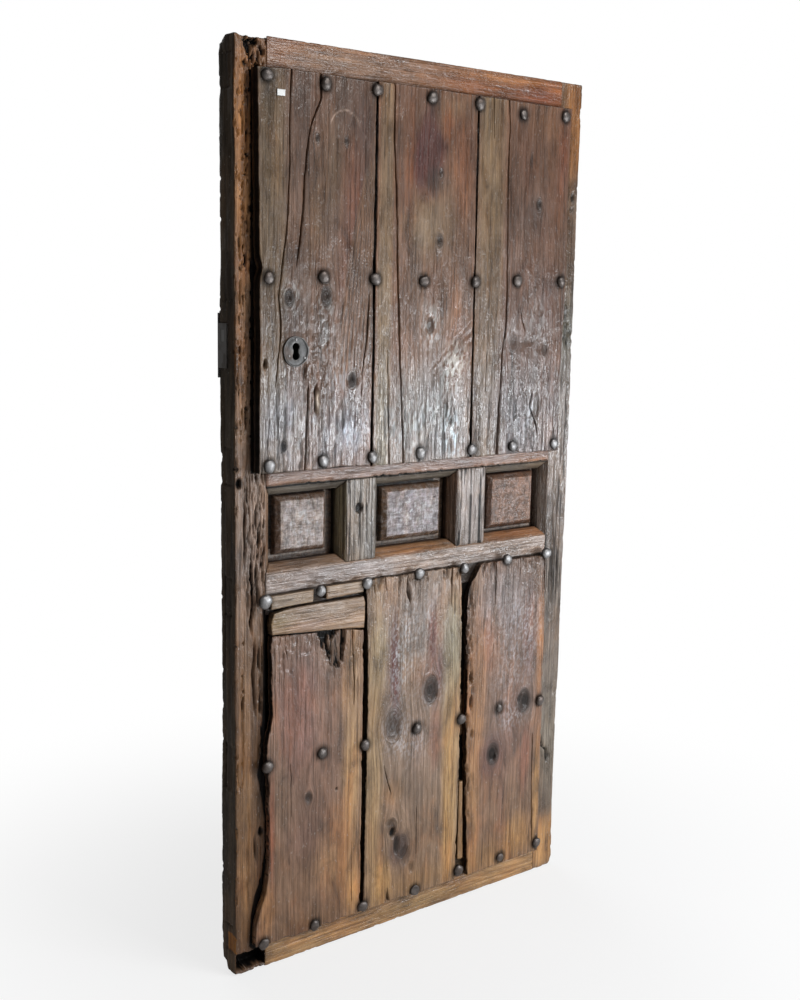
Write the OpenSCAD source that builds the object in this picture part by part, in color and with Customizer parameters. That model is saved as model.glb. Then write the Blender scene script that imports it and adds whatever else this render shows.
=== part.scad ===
// Old plank-and-panel door leaf: a pegless through-tenoned frame, wide boards
// nailed over its face above and below, and a row of three raised panels.
// X runs from the closing edge (-) to the hanging edge (+), Y from the nailed
// front (-) to the back (+), Z up. Millimetres.

/* [Leaf] */
// Width of the leaf from closing edge to hanging edge
leaf_w = 951; // [930:1:980]
// Height of the leaf
leaf_h = 1950; // [1935:1:1980]
// Thickness of the frame members
frame_t = 64; // [60:1:70]
// Width of the closing stile, at its back
lock_stile_w = 89.5; // [84:0.5:95]
// Width of the hanging stile, at its back
hang_stile_w = 84.5; // [80:0.5:90]
// Radius worn on the bottom outer corner of the hanging stile
corner_r = 22; // [10:1:35]

/* [Rails] */
// Height of the top rail
top_rail_h = 112; // [100:1:120]
// Height of the hidden rails behind the boards
back_rail_h = 104; // [90:1:112]
// Height of the rail above the panels
frieze_top_h = 108; // [98:1:112]
// Height of the rail below the panels
frieze_bottom_h = 108; // [98:1:112]
// Height of the bottom rail
bottom_rail_h = 118; // [112:1:130]
// Thickness of the through tenons
tenon_t = 25; // [18:1:30]

/* [Panels] */
// Height at which the front arris below the panels lies
open_z0 = 880; // [876:1:884]
// Height at which the front arris above the panels lies
open_z1 = 1062; // [1056:1:1066]
// Width of the worked chamfer round the panels
chamfer_w = 17; // [12:1:18]
// Depth of the worked chamfer round the panels
chamfer_d = 20; // [16:1:20]
// Depth of the panels' fields below the frame's face
field_d = 15; // [12:1:18]
// Depth of the panels' flat margins below the frame's face
margin_d = 36; // [33:1:38]
// Width of the sloping bevel round each field
bevel_w = 11; // [8:1:14]
// Thickness of the panels at their margins
panel_t = 16; // [12:1:18]

/* [Boards] */
// Thickness of the upper boards
upper_t = 25; // [20:1:28]
// Thickness of the lower boards
lower_t = 18; // [15:1:20]
// Thickness of the laths behind the lower boards' open edges
back_lath_t = 22; // [20:1:24]
// Height of the upper boards' bottom ends
upper_z0 = 1091; // [1086:1:1096]
// Height of the upper boards' top ends
upper_z1 = 1888; // [1882:1:1892]
// Height of the lower boards' bottom ends
lower_z0 = 61; // [58:1:66]
// Height of the lower boards' top ends
lower_z1 = 838; // [834:1:842]

/* [Nails] */
// Radius of a nail's domed head
head_r = 14; // [11:0.5:16]
// Height of a nail's domed head
head_h = 8; // [6:0.5:9]
// Radius of a nail's shank
shank_r = 3; // [2.5:0.25:3.5]
// Clearance round a nail's shank
nail_gap = 0.1; // [0.1:0.05:0.3]

/* [Lock] */
// Height of the key's axis
key_z = 1349; // [1347:1:1351]
// Distance of the key's axis from the closing edge
backset = 127.5; // [124:0.5:132]
// Radius of the escutcheon
escutcheon_r = 31; // [28:1:34]
// Depth of the lock case
case_d = 32; // [30:1:34]
// Thickness of the case's sheet iron
case_t = 2; // [1.5:0.5:2.5]
// Clearance round the bolt
bolt_gap = 0.4; // [0.3:0.1:0.6]

/* [Hidden] */
fine = 48;
xl = -leaf_w / 2;              // closing edge
xr = leaf_w / 2;               // hanging edge
xl_in = xl + lock_stile_w;     // stiles' inner edges at the back
xr_in = xr - hang_stile_w;
xl_fr = xl_in - chamfer_w;     // stiles' inner edges at the face
xr_fr = xr_in + chamfer_w;
plate_t = 2.5;
lock_head_h = 4;
// the front of the nail heads and the back of the lock nails, from the face
front_most = -(upper_t + head_h);
back_most = frame_t + plate_t + lock_head_h;
yc = (front_most + back_most) / 2;
ten_y = chamfer_d;             // tenons start where the chamfer ends
big = 3000;

// heights of the rails
top_z0 = leaf_h - top_rail_h;
up_back_z0 = 1488 - back_rail_h / 2;
fr_top_z1 = open_z1 + frieze_top_h - 20;
fr_bot_z0 = open_z0 - frieze_bottom_h + 18;
low_back_z0 = 466 - back_rail_h / 2;

// arrises of the mullions at the face
m1 = [-197, -118];
m2 = [118, 203];

// nail centres, [x, z] from the leaf's middle and foot
upper_nails = [
  [-417, 1872], [-279, 1869], [-150, 1871], [-4, 1870], [131, 1870],
  [263, 1860], [396, 1867],
  [-412, 1486], [-280, 1490], [-148, 1488], [-15, 1486], [132, 1487],
  [260, 1491], [400, 1491],
  [-409, 1109], [-277, 1111], [-148, 1111], [-16, 1111], [136, 1109],
  [262, 1109], [398, 1107]
];
lower_nails = [
  [-414, 826], [-275, 831], [-152, 832], [-5, 835], [130, 831],
  [265, 836], [394, 837],
  [-408, 466], [-268, 467], [-152, 461], [-3, 470], [132, 465],
  [254, 469], [390, 463],
  [-416, 66], [-284, 69], [-152, 75], [1, 70], [136, 82], [272, 79],
  [396, 85]
];
// points at which the lock's plate is nailed on
lock_nail_x = [xl + 12, xl + 184.5];
lock_nail_z = [1295, 1405];

key_x = xl + backset;
case_x1 = xl + 175.5;
case_z0 = 1305;
case_z1 = 1395;
case_y0 = frame_t - case_d;
bolt_y = [case_y0 + 10, case_y0 + 22];
bolt_z = [1358, 1382];

// ---------- shared shapes ----------

module place() translate([0, -yc, 0]) children();

module block(x0, x1, y0, y1, z0, z1)
  translate([x0, y0, z0]) cube([x1 - x0, y1 - y0, z1 - z0]);

// an outline in X and Z, given a thickness from y0 to y1
module slab(pts, y0, y1)
  translate([0, y1, 0]) rotate([90, 0, 0]) linear_extrude(y1 - y0) polygon(pts);

// a section in Y and Z, run along X
module run_x(pts, x0, x1)
  translate([x0, 0, 0]) rotate([90, 0, 90]) linear_extrude(x1 - x0) polygon(pts);

// a rod along Y
module rod(x, z, r, y0, y1)
  translate([x, y1, z]) rotate([90, 0, 0]) cylinder(h = y1 - y0, r = r, $fn = fine);

module shank_holes(list, y0)
  for (p = list) rod(p[0], p[1], shank_r + nail_gap, y0, frame_t - 6);

module all_holes() {
  shank_holes(upper_nails, -40);
  shank_holes(lower_nails, -40);
}

// a forged nail: a low dome over a round shank
module nail(x, z, y_face, len) {
  rod(x, z, shank_r, y_face, y_face + len);
  translate([x, y_face, z]) rotate([90, 0, 0]) intersection() {
    translate([0, 0, head_h - (head_r * head_r + head_h * head_h) / (2 * head_h)])
      sphere(r = (head_r * head_r + head_h * head_h) / (2 * head_h), $fn = fine);
    cylinder(h = head_h + 1, r = head_r + 1, $fn = fine);
  }
}

// keyhole outline: a round top, a waist and a round foot
module keyhole(r, waist, drop, y0, y1) {
  rod(key_x, key_z, r, y0, y1);
  rod(key_x, key_z - drop, r, y0, y1);
  block(key_x - waist / 2, key_x + waist / 2, y0, y1, key_z - drop, key_z);
}

// plan of everything between the stiles, scribed over their chamfers
module between_stiles(z0, z1)
  translate([0, 0, z0]) linear_extrude(z1 - z0) polygon([
    [xl_fr, 0], [xr_fr, 0], [xr_in, chamfer_d], [xr_in, frame_t],
    [xl_in, frame_t], [xl_in, chamfer_d]]);

module tenon(z0, z1)
  block(xl, xr, ten_y, ten_y + tenon_t, z0, z1);

module panel_grooves()
  block(xl_in - 10, xr_in + 10, margin_d, margin_d + panel_t,
        open_z0 + 18 - 10, open_z1 - 20 + 10);

// ---------- frame ----------

module mortises() {
  block(xl - 1, xr + 1, ten_y, ten_y + tenon_t, top_z0 + 12, leaf_h - 35);
  block(xl - 1, xr + 1, ten_y, ten_y + tenon_t, up_back_z0 + 5, up_back_z0 + back_rail_h - 5);
  block(xl - 1, xr + 1, ten_y, ten_y + tenon_t, open_z1 + 6, fr_top_z1 - 6);
  block(xl - 1, xr + 1, ten_y, ten_y + tenon_t, fr_bot_z0 + 6, open_z0 - 6);
  block(xl - 1, xr + 1, ten_y, ten_y + tenon_t, low_back_z0 + 5, low_back_z0 + back_rail_h - 5);
  block(xl - 1, xr + 1, ten_y, ten_y + tenon_t, 52, bottom_rail_h - 10);
}

module closing_stile() color("#4a382b") place() difference() {
  linear_extrude(leaf_h) polygon([
    [xl, 0], [xl_fr, 0], [xl_in, chamfer_d], [xl_in, frame_t], [xl, frame_t]]);
  mortises();
  all_holes();
  panel_grooves();
  // the foot is rotted hollow at the front
  block(xl + 4, xl_in + 1, -1, 17, 12, 48);
  // room for the lock case and its plate's nails
  block(xl - 1, xl_in + 1, case_y0, frame_t + 1, case_z0, case_z1);
  for (z = lock_nail_z) rod(lock_nail_x[0], z, 1.6, frame_t - 16, frame_t + 1);
}

module hanging_stile() color("#55443a") place() difference() {
  linear_extrude(leaf_h) polygon([
    [xr_fr, 0], [xr, 0], [xr, frame_t], [xr_in, frame_t], [xr_in, chamfer_d]]);
  mortises();
  all_holes();
  panel_grooves();
  // worn bottom corner
  difference() {
    block(xr - corner_r, xr + 1, -1, frame_t + 1, -1, corner_r);
    rod(xr - corner_r, corner_r, corner_r, -2, frame_t + 2);
  }
}

module plain_rail(z0, z1, t0, t1) difference() {
  union() {
    between_stiles(z0, z1);
    tenon(t0, t1);
  }
  all_holes();
}

module top_rail() color("#6b4a35") place()
  plain_rail(top_z0, leaf_h, top_z0 + 12, leaf_h - 35);

module upper_back_rail() color("#5a4636") place()
  plain_rail(up_back_z0, up_back_z0 + back_rail_h, up_back_z0 + 5,
             up_back_z0 + back_rail_h - 5);

module lower_back_rail() color("#5a4636") place()
  plain_rail(low_back_z0, low_back_z0 + back_rail_h, low_back_z0 + 5,
             low_back_z0 + back_rail_h - 5);

module bottom_rail() color("#8a6642") place()
  plain_rail(0, bottom_rail_h, 52, bottom_rail_h - 10);

// the mullions' tenons stand in both panel rails
module mullion_tenons()
  for (m = [m1, m2])
    block(m[0] + 4, m[1] - 4, ten_y, ten_y + 14, open_z0 - 22, open_z1 + 22);

module frieze_top_rail() color("#6d4c3c") place() difference() {
  union() {
    intersection() {
      between_stiles(open_z1 - 30, fr_top_z1);
      run_x([[0, open_z1], [chamfer_d, open_z1 - 20], [frame_t, open_z1 - 20],
             [frame_t, fr_top_z1], [0, fr_top_z1]], xl, xr);
    }
    tenon(open_z1 + 6, fr_top_z1 - 6);
  }
  all_holes();
  panel_grooves();
  mullion_tenons();
}

module frieze_bottom_rail() color("#7a5540") place() difference() {
  union() {
    intersection() {
      between_stiles(fr_bot_z0, open_z0 + 30);
      run_x([[0, fr_bot_z0], [frame_t, fr_bot_z0], [frame_t, open_z0 + 18],
             [chamfer_d, open_z0 + 18], [0, open_z0]], xl, xr);
    }
    tenon(fr_bot_z0 + 6, open_z0 - 6);
  }
  all_holes();
  panel_grooves();
  mullion_tenons();
}

// a mullion between the panel rails, scribed over their chamfers
module mullion(m) difference() {
  union() {
    intersection() {
      translate([0, 0, open_z0 - 5]) linear_extrude(open_z1 - open_z0 + 10) polygon([
        [m[0], 0], [m[1], 0], [m[1] + chamfer_w, chamfer_d],
        [m[1] + chamfer_w, frame_t], [m[0] - chamfer_w, frame_t],
        [m[0] - chamfer_w, chamfer_d]]);
      run_x([[0, open_z0], [chamfer_d, open_z0 + 18], [frame_t, open_z0 + 18],
             [frame_t, open_z1 - 20], [chamfer_d, open_z1 - 20], [0, open_z1]],
            m[0] - 30, m[1] + 30);
    }
    block(m[0] + 4, m[1] - 4, ten_y, ten_y + 14, open_z0 - 22, open_z1 + 22);
  }
  // grooves for the panels on both sides
  block(m[0] - chamfer_w - 1, m[0] - chamfer_w + 10, margin_d, margin_d + panel_t,
        open_z0, open_z1);
  block(m[1] + chamfer_w - 10, m[1] + chamfer_w + 1, margin_d, margin_d + panel_t,
        open_z0, open_z1);
}

module mullion_left() color("#5f4f43") place() mullion(m1);
module mullion_right() color("#5f4f43") place() mullion(m2);

// ---------- raised panels ----------

// x0, x1: the opening's sides; fx: the field's sides; fz: its foot and top
module panel(x0, x1, fx, fz) {
  block(x0 - 9, x1 + 9, margin_d, margin_d + panel_t,
        open_z0 + 18 - 9, open_z1 - 20 + 9);
  b = bevel_w;
  intersection() {
    translate([0, 0, fz[0] - b]) linear_extrude(fz[1] - fz[0] + 2 * b) polygon([
      [fx[0], field_d], [fx[1], field_d], [fx[1] + b, field_d + b],
      [fx[1] + b, margin_d], [fx[0] - b, margin_d], [fx[0] - b, field_d + b]]);
    run_x([[field_d, fz[0]], [field_d + b, fz[0] - b], [margin_d, fz[0] - b],
           [margin_d, fz[1] + b], [field_d + b, fz[1] + b], [field_d, fz[1]]],
          fx[0] - b, fx[1] + b);
  }
}

module panel_left() color("#6a564a") place()
  panel(xl_in, m1[0] - chamfer_w, [-355, -247], [924, 1026]);
module panel_middle() color("#6a5a52") place()
  panel(m1[1] + chamfer_w, m2[0] - chamfer_w, [-74, 74], [922, 1022]);
module panel_right() color("#6b4e40") place()
  panel(m2[1] + chamfer_w, xr_in, [240, 366], [918, 1026]);

// ---------- upper boards ----------

module upper_board(pts) difference() {
  slab(pts, -upper_t, 0);
  all_holes();
}

module upper_board_left() color("#6e5848") place() difference() {
  upper_board([[-438, upper_z0 + 4], [-438, upper_z1 + 1], [-150.5, upper_z1 + 2],
               [-152, upper_z0]]);
  keyhole(9, 12, 18, -upper_t - 1, 1);
}
module upper_board_middle() color("#6c4c3e") place()
  upper_board([[-147, upper_z0], [-146, upper_z1 + 1], [128.5, upper_z1 - 1],
               [129.5, upper_z0 + 1]]);
module upper_board_right() color("#71594a") place()
  upper_board([[134.5, upper_z0], [132.5, upper_z1 - 1], [418, upper_z1 - 2],
               [415, upper_z0 - 2]]);

// ---------- lower boards ----------

module lower_board(pts) difference() {
  slab(pts, -lower_t, 0);
  all_holes();
}

// its closing edge has rotted back, and its head is broken under the patches
module lower_board_left() color("#7a5c4a") place() difference() {
  lower_board([
    [-438, lower_z0], [-436, 95], [-426, 140], [-411, 170], [-402, 230],
    [-400, 400], [-408, 470], [-400, 530], [-394, 570], [-398, 610],
    [-398, 748], [-158, 726], [-157, 400], [-159, lower_z0 - 2]]);
  // deep break, down to a last thin layer
  slab([[-286, 760], [-270, 702], [-256, 690], [-236, 702], [-232, 760]],
       -lower_t - 1, -3);
  // and its splintered, thinner remains
  slab([[-258, 740], [-256, 672], [-224, 660], [-212, 700], [-208, 740]],
       -lower_t - 1, -8);
}
// a wedge has split out of its head
module lower_board_middle() color("#84664a") place()
  lower_board([
    [-148, lower_z0 - 1], [-144, 500], [-153, lower_z1], [-44, lower_z1 + 2],
    [-31, lower_z1 - 66], [-33, lower_z1 + 2], [122, lower_z1 - 3],
    [129, 630], [132, 400], [129, 200], [127, lower_z0]]);
// the head's corner and seam edge are gnawed away
module lower_board_right() color("#80603f") place()
  lower_board([
    [166, lower_z0], [153, 310], [150, 490], [147, 630], [142, lower_z1 - 46],
    [158, lower_z1 - 30], [166, lower_z1 - 16], [190, lower_z1 - 4],
    [396, lower_z1 - 4], [403, 460], [403, 250], [405, lower_z0 + 2]]);

// ---------- repairs ----------

module patch_board() color("#8b6f57") place() difference() {
  slab([[-396, 753], [-399, 780], [-392, 799], [-330, 803], [-163, 802],
        [-155, 794], [-157, 731]], -lower_t - 1, 0);
  all_holes();
}
module patch_lath_left() color("#8f7761") place() difference() {
  slab([[-399, 806], [-399, 836], [-292, 836], [-294, 807]], -lower_t, 0);
  all_holes();
}
module patch_lath_right() color("#957d66") place() difference() {
  slab([[-258, 808], [-260, 838], [-159, 838], [-159, 808]], -lower_t, 0);
  all_holes();
}
// a thin filler left standing in the open seam
module seam_sliver() color("#8a6c4c") place() difference() {
  slab([[136, 108], [135, 306], [148, 304], [156, 108]], -lower_t + 3, 0);
  all_holes();
}

// laths behind the lower boards' open edges, one above and one below the
// hidden rail, so that no daylight passes
module back_lath(x0, x1) {
  block(x0, x1, 0, back_lath_t, bottom_rail_h, low_back_z0);
  block(x0, x1, 0, back_lath_t, low_back_z0 + back_rail_h, fr_bot_z0);
}
module back_lath_closing() color("#5a4636") place()
  back_lath(xl_in, xl_in + 46);
module back_lath_left() color("#5a4636") place()
  back_lath(-186, -118);
module back_lath_right() color("#5a4636") place()
  back_lath(102, 186);

// ---------- nails ----------

module upper_board_nails() color("#5b5a5a") place()
  for (p = upper_nails) nail(p[0], p[1], -upper_t, upper_t + frame_t - 7);
module lower_board_nails() color("#5b5a5a") place()
  for (p = lower_nails) nail(p[0], p[1], -lower_t - (p[0] < -400 && p[1] > 700 ? 2 : 0),
                             lower_t + frame_t - 7);

// ---------- lock ----------

// pins that hold the escutcheon, [x, z] from its middle
esc_z = key_z - 9;
esc_pins = [[0, 24], [-17, -9], [21, -13]];

module escutcheon() color("#5e5f60") place() difference() {
  union() {
    rod(key_x, esc_z, escutcheon_r, -upper_t - 2, -upper_t);
    difference() {
      rod(key_x, esc_z, escutcheon_r, -upper_t - 4, -upper_t - 2);
      rod(key_x, esc_z, escutcheon_r - 3, -upper_t - 5, -upper_t - 2);
    }
  }
  keyhole(8, 10.5, 18, -upper_t - 6, 0);
  for (p = esc_pins) rod(key_x + p[0], esc_z + p[1], 1.6, -upper_t - 6, 0);
}

module escutcheon_pins() color("#77787a") place()
  difference() {
    union() {
      for (p = esc_pins) {
        rod(key_x + p[0], esc_z + p[1], 1.5, -upper_t - 2, -upper_t);
        translate([key_x + p[0], -upper_t - 2, esc_z + p[1]]) rotate([90, 0, 0])
          intersection() {
            translate([0, 0, -1.5]) sphere(r = 3.5, $fn = 32);
            cylinder(h = 4, r = 3.1, $fn = 32);
          }
      }
    }
    block(-500, 500, -upper_t + 1, 100, 0, 2000);
  }

// hardwood block that carries the lock behind the board
module lock_block() color("#5a4636") place() difference() {
  block(xl_in, xl + 193.5, 0, frame_t, 1285, 1415);
  block(xl_in - 1, case_x1, case_y0, frame_t + 1, case_z0, case_z1);
  keyhole(9, 12, 18, -1, case_y0 + 1);
  for (z = lock_nail_z) rod(lock_nail_x[1], z, 1.6, frame_t - 16, frame_t + 1);
}

module lock_case() color("#3f3f40") place() difference() {
  block(xl, case_x1, case_y0, frame_t, case_z0, case_z1);
  block(xl + case_t, case_x1 - case_t, case_y0 + case_t, frame_t + 1,
        case_z0 + case_t, case_z1 - case_t);
  keyhole(9, 12, 18, case_y0 - 1, case_y0 + case_t + 1);
  block(xl - 1, xl + case_t + 1, bolt_y[0] - bolt_gap, bolt_y[1] + bolt_gap,
        bolt_z[0] - bolt_gap, bolt_z[1] + bolt_gap);
}

module lock_plate() color("#454546") place() difference() {
  block(xl, xl + 193.5, frame_t, frame_t + plate_t, 1285, 1415);
  keyhole(6, 8, 16, frame_t - 1, frame_t + plate_t + 1);
  for (x = lock_nail_x) for (z = lock_nail_z)
    rod(x, z, 1.6, frame_t - 1, frame_t + plate_t + 1);
}

module lock_bolt() color("#6a6a6b") place() difference() {
  union() {
    block(xl + 0.5, xl + 148, bolt_y[0], bolt_y[1], bolt_z[0], bolt_z[1]);
    // stop stub
    block(xl + 136, xl + 142, bolt_y[1], bolt_y[1] + 5, bolt_z[0] + 4, bolt_z[1] - 4);
  }
  // talons that the key's bit turns against
  block(key_x - 11, key_x - 4, bolt_y[0] - 1, bolt_y[1] + 1, bolt_z[0] - 1, bolt_z[0] + 8);
  block(key_x + 6, key_x + 13, bolt_y[0] - 1, bolt_y[1] + 1, bolt_z[0] - 1, bolt_z[0] + 8);
}

// forged staple on the plate that keeps the bolt straight
module lock_bolt_guide() color("#4a4a4b") place() difference() {
  block(xl + 84, xl + 96, bolt_y[0] - 4, frame_t, bolt_z[0] - 6, bolt_z[1] + 6);
  block(xl + 83, xl + 97, bolt_y[0] - bolt_gap, bolt_y[1] + bolt_gap,
        bolt_z[0] - bolt_gap, bolt_z[1] + bolt_gap);
}

// leaf spring between the case's roof and the bolt
module lock_spring() color("#565657") place()
  slab([[xl + 12, case_z1 - case_t], [xl + 24, case_z1 - case_t],
        [xl + 46, case_z1 - 10], [xl + 70, case_z1 - 5],
        [xl + 70, case_z1 - 6.4], [xl + 46, case_z1 - 11.4],
        [xl + 22, case_z1 - case_t - 1.4], [xl + 12, case_z1 - case_t - 1.4]],
       bolt_y[0] + 1, bolt_y[1] - 1);

module lock_nails() color("#5b5a5a") place()
  for (x = lock_nail_x) for (z = lock_nail_z) {
    rod(x, z, 1.5, frame_t - 15, frame_t + plate_t);
    translate([x, frame_t + plate_t, z]) rotate([-90, 0, 0]) intersection() {
      translate([0, 0, lock_head_h - 8]) sphere(r = 8, $fn = fine);
      cylinder(h = lock_head_h + 1, r = 8, $fn = fine);
    }
  }

// small blank tag tucked on the first board
module paper_tag() color("#e9e9e6") place()
  block(-394, -376, -upper_t - 0.4, -upper_t, 1836, 1849);

closing_stile();
hanging_stile();
top_rail();
upper_back_rail();
frieze_top_rail();
frieze_bottom_rail();
lower_back_rail();
bottom_rail();
mullion_left();
mullion_right();
panel_left();
panel_middle();
panel_right();
upper_board_left();
upper_board_middle();
upper_board_right();
lower_board_left();
lower_board_middle();
lower_board_right();
patch_board();
patch_lath_left();
patch_lath_right();
seam_sliver();
back_lath_closing();
back_lath_left();
back_lath_right();
upper_board_nails();
lower_board_nails();
escutcheon();
escutcheon_pins();
lock_block();
lock_case();
lock_plate();
lock_bolt();
lock_bolt_guide();
lock_spring();
lock_nails();
paper_tag();
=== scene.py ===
import bpy
import math
import numpy as np
from mathutils import Vector, Matrix


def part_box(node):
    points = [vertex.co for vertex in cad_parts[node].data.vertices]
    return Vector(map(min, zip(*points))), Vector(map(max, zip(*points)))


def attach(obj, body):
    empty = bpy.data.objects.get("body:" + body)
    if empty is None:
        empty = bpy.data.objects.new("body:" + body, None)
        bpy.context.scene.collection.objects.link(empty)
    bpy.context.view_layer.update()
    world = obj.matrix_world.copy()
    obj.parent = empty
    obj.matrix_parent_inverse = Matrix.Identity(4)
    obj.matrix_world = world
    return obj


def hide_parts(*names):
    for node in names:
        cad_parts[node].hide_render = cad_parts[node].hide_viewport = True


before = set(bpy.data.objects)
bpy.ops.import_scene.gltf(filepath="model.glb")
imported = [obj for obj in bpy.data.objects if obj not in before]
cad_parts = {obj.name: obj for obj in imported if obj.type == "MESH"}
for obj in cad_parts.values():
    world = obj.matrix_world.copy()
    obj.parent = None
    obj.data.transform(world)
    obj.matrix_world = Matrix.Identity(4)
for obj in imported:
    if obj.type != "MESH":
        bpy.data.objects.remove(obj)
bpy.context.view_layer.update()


# Door coordinates, in millimetres: X from the closing edge (-) to the hanging
# edge (+), Y = 0 on the frame's face with + into the leaf, Z up from the foot.
YC = -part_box("closing_stile")[0].y * 1000.0
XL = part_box("closing_stile")[0].x * 1000.0
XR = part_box("hanging_stile")[1].x * 1000.0
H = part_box("closing_stile")[1].z * 1000.0
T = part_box("closing_stile")[1].y * 1000.0 + YC
XLF, XLI = -403.0, -386.0        # closing stile's inner edge, face and depth
XRF, XRI = 408.0, 391.0          # hanging stile's inner edge
UT, LT = 25.0, 18.0              # boards stand this proud of the frame


SHEEN = 0.021


# ---------------------------------------------------------------- numbers

def lin(r, g, b):
    """A tone given on the 0-255 screen scale, as linear light."""
    out = []
    for c in (r, g, b):
        c = c / 255.0
        v = c / 12.92 if c <= 0.04045 else ((c + 0.055) / 1.055) ** 2.4
        # the studio's sheen adds a little to every surface
        out.append(max(v - SHEEN, 0.30 * v))
    return np.array(out)


_tabs = {}


def _tab(seed):
    if seed not in _tabs:
        _tabs[seed] = np.random.RandomState(seed % 2 ** 31).rand(256, 256)
    return _tabs[seed]


def vn(x, y, seed=0):
    """Smooth value noise in 2-D, 0 to 1."""
    t = _tab(seed)
    x = np.asarray(x, float)
    y = np.asarray(y, float)
    x, y = np.broadcast_arrays(x, y)
    xi = np.floor(x).astype(int)
    yi = np.floor(y).astype(int)
    fx = x - xi
    fy = y - yi
    fx = fx * fx * (3 - 2 * fx)
    fy = fy * fy * (3 - 2 * fy)
    a = t[xi % 256, yi % 256]
    b = t[(xi + 1) % 256, yi % 256]
    c = t[xi % 256, (yi + 1) % 256]
    d = t[(xi + 1) % 256, (yi + 1) % 256]
    return (a * (1 - fx) + b * fx) * (1 - fy) + (c * (1 - fx) + d * fx) * fy


def fbm(x, y, seed=0, octaves=4, gain=0.5):
    s = 0.0
    amp = 1.0
    tot = 0.0
    for o in range(octaves):
        s = s + amp * vn(np.asarray(x) * 2 ** o + 17.3 * o, np.asarray(y) * 2 ** o + 9.1 * o, seed + o)
        tot += amp
        amp *= gain
    return s / tot


def ss(a, b, x):
    """Smooth step from a to b."""
    t = np.clip((np.asarray(x, float) - a) / (b - a), 0, 1)
    return t * t * (3 - 2 * t)


def curve(pts, wob=0.0, seed=0, scale=30.0):
    """x as a function of z through [x, z] points, with a little wander."""
    p = sorted(pts, key=lambda q: q[1])
    zs = np.array([q[1] for q in p], float)
    xs = np.array([q[0] for q in p], float)

    def f(z):
        z = np.asarray(z, float)
        # average three taps so that the corners are soft
        v = (np.interp(z - 9, zs, xs) + 2 * np.interp(z, zs, xs) + np.interp(z + 9, zs, xs)) / 4
        if wob:
            v = v + wob * 2 * (fbm(z / scale, 3.7, seed, 3) - 0.5)
        return v
    return f


def zcurve(pts, wob=0.0, seed=0, scale=12.0):
    """z as a function of x through [x, z] points, with ragged fibres."""
    p = sorted(pts, key=lambda q: q[0])
    xs = np.array([q[0] for q in p], float)
    zs = np.array([q[1] for q in p], float)

    def f(x):
        x = np.asarray(x, float)
        v = np.interp(x, xs, zs)
        if wob:
            v = v + wob * 2 * (fbm(x / scale, 8.2, seed, 3) - 0.5)
        return v
    return f


# ---------------------------------------------------------------- meshes

def lattice(nx, ny, nz, coarse=(0, 0)):
    """Surface of a box lattice. coarse=(kx, kz) thins the back face."""
    m = np.zeros((nx, ny, nz), bool)
    m[0] = m[-1] = True
    m[:, 0] = True
    m[:, :, 0] = m[:, :, -1] = True
    if coarse[0]:
        ci = np.unique(np.r_[np.arange(0, nx, coarse[0]), nx - 1])
        ck = np.unique(np.r_[np.arange(0, nz, coarse[1]), nz - 1])
        m[np.ix_(ci, [ny - 1], ck)] = True
    else:
        m[:, -1] = True
    ids = -np.ones((nx, ny, nz), np.int64)
    ids[m] = np.arange(m.sum())
    I, J, K = np.nonzero(m)
    faces = []

    def grid(a, flip):
        q = np.stack([a[:-1, :-1], a[1:, :-1], a[1:, 1:], a[:-1, 1:]], -1).reshape(-1, 4)
        if flip:
            q = q[:, ::-1]
        faces.extend(q.tolist())
    grid(ids[:, 0, :], False)
    grid(ids[0], True)
    grid(ids[-1], False)
    grid(ids[:, :, 0], True)
    grid(ids[:, :, -1], False)
    if not coarse[0]:
        grid(ids[:, -1, :], True)
    else:
        b = ids[:, -1, :]
        for a0, a1 in zip(ci[:-1], ci[1:]):
            for k0, k1 in zip(ck[:-1], ck[1:]):
                bot = list(range(a0, a1)) if k0 == 0 else [a0]
                rgt = list(range(k0, k1)) if a1 == nx - 1 else [k0]
                top = list(range(a1, a0, -1)) if k1 == nz - 1 else [a1]
                lft = list(range(k1, k0, -1)) if a0 == 0 else [k1]
                poly = [b[i, k0] for i in bot] + [b[a1, k] for k in rgt]
                poly += [b[i, k1] for i in top] + [b[a0, k] for k in lft]
                faces.append([int(v) for v in poly[::-1]])
    return I, J, K, faces


def make_object(name, P, faces, attrs, smooth=True):
    """P in door millimetres. attrs: gr (n,3), tint (n,3), mk (n,4)."""
    V = np.empty_like(P)
    V[:, 0] = P[:, 0] / 1000.0
    V[:, 1] = (P[:, 1] - YC) / 1000.0
    V[:, 2] = P[:, 2] / 1000.0
    me = bpy.data.meshes.new(name)
    me.from_pydata(V.tolist(), [], faces)
    me.update()
    n = len(V)
    for key, kind in (("gr", "FLOAT_VECTOR"), ("tint", "FLOAT_COLOR"), ("mk", "FLOAT_COLOR")):
        if key in attrs:
            a = me.attributes.new(key, kind, "POINT")
            v = np.asarray(attrs[key], np.float32)
            if kind == "FLOAT_COLOR":
                if v.shape[1] == 3:
                    v = np.c_[v, np.ones(n, np.float32)]
                a.data.foreach_set("color", v.ravel())
            else:
                a.data.foreach_set("vector", v.ravel())
    if smooth:
        me.polygons.foreach_set("use_smooth", [True] * len(me.polygons))
    ob = bpy.data.objects.new(name, me)
    bpy.context.scene.collection.objects.link(ob)
    return ob


def refine(vals, marks):
    """Adds lines close to each mark, so that edges there stay crisp."""
    out = list(vals)
    for m_, offs in marks:
        out += [m_ + o for o in offs]
    out = np.unique(np.round(np.array(out), 3))
    keep = [out[0]]
    for v in out[1:]:
        if v - keep[-1] > 0.45:
            keep.append(v)
    keep[-1] = out[-1]
    return np.array(keep)


def spaced(a, b, step):
    return np.linspace(a, b, max(2, int(round(abs(b - a) / step)) + 1))


# ---------------------------------------------------------------- tints

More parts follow.
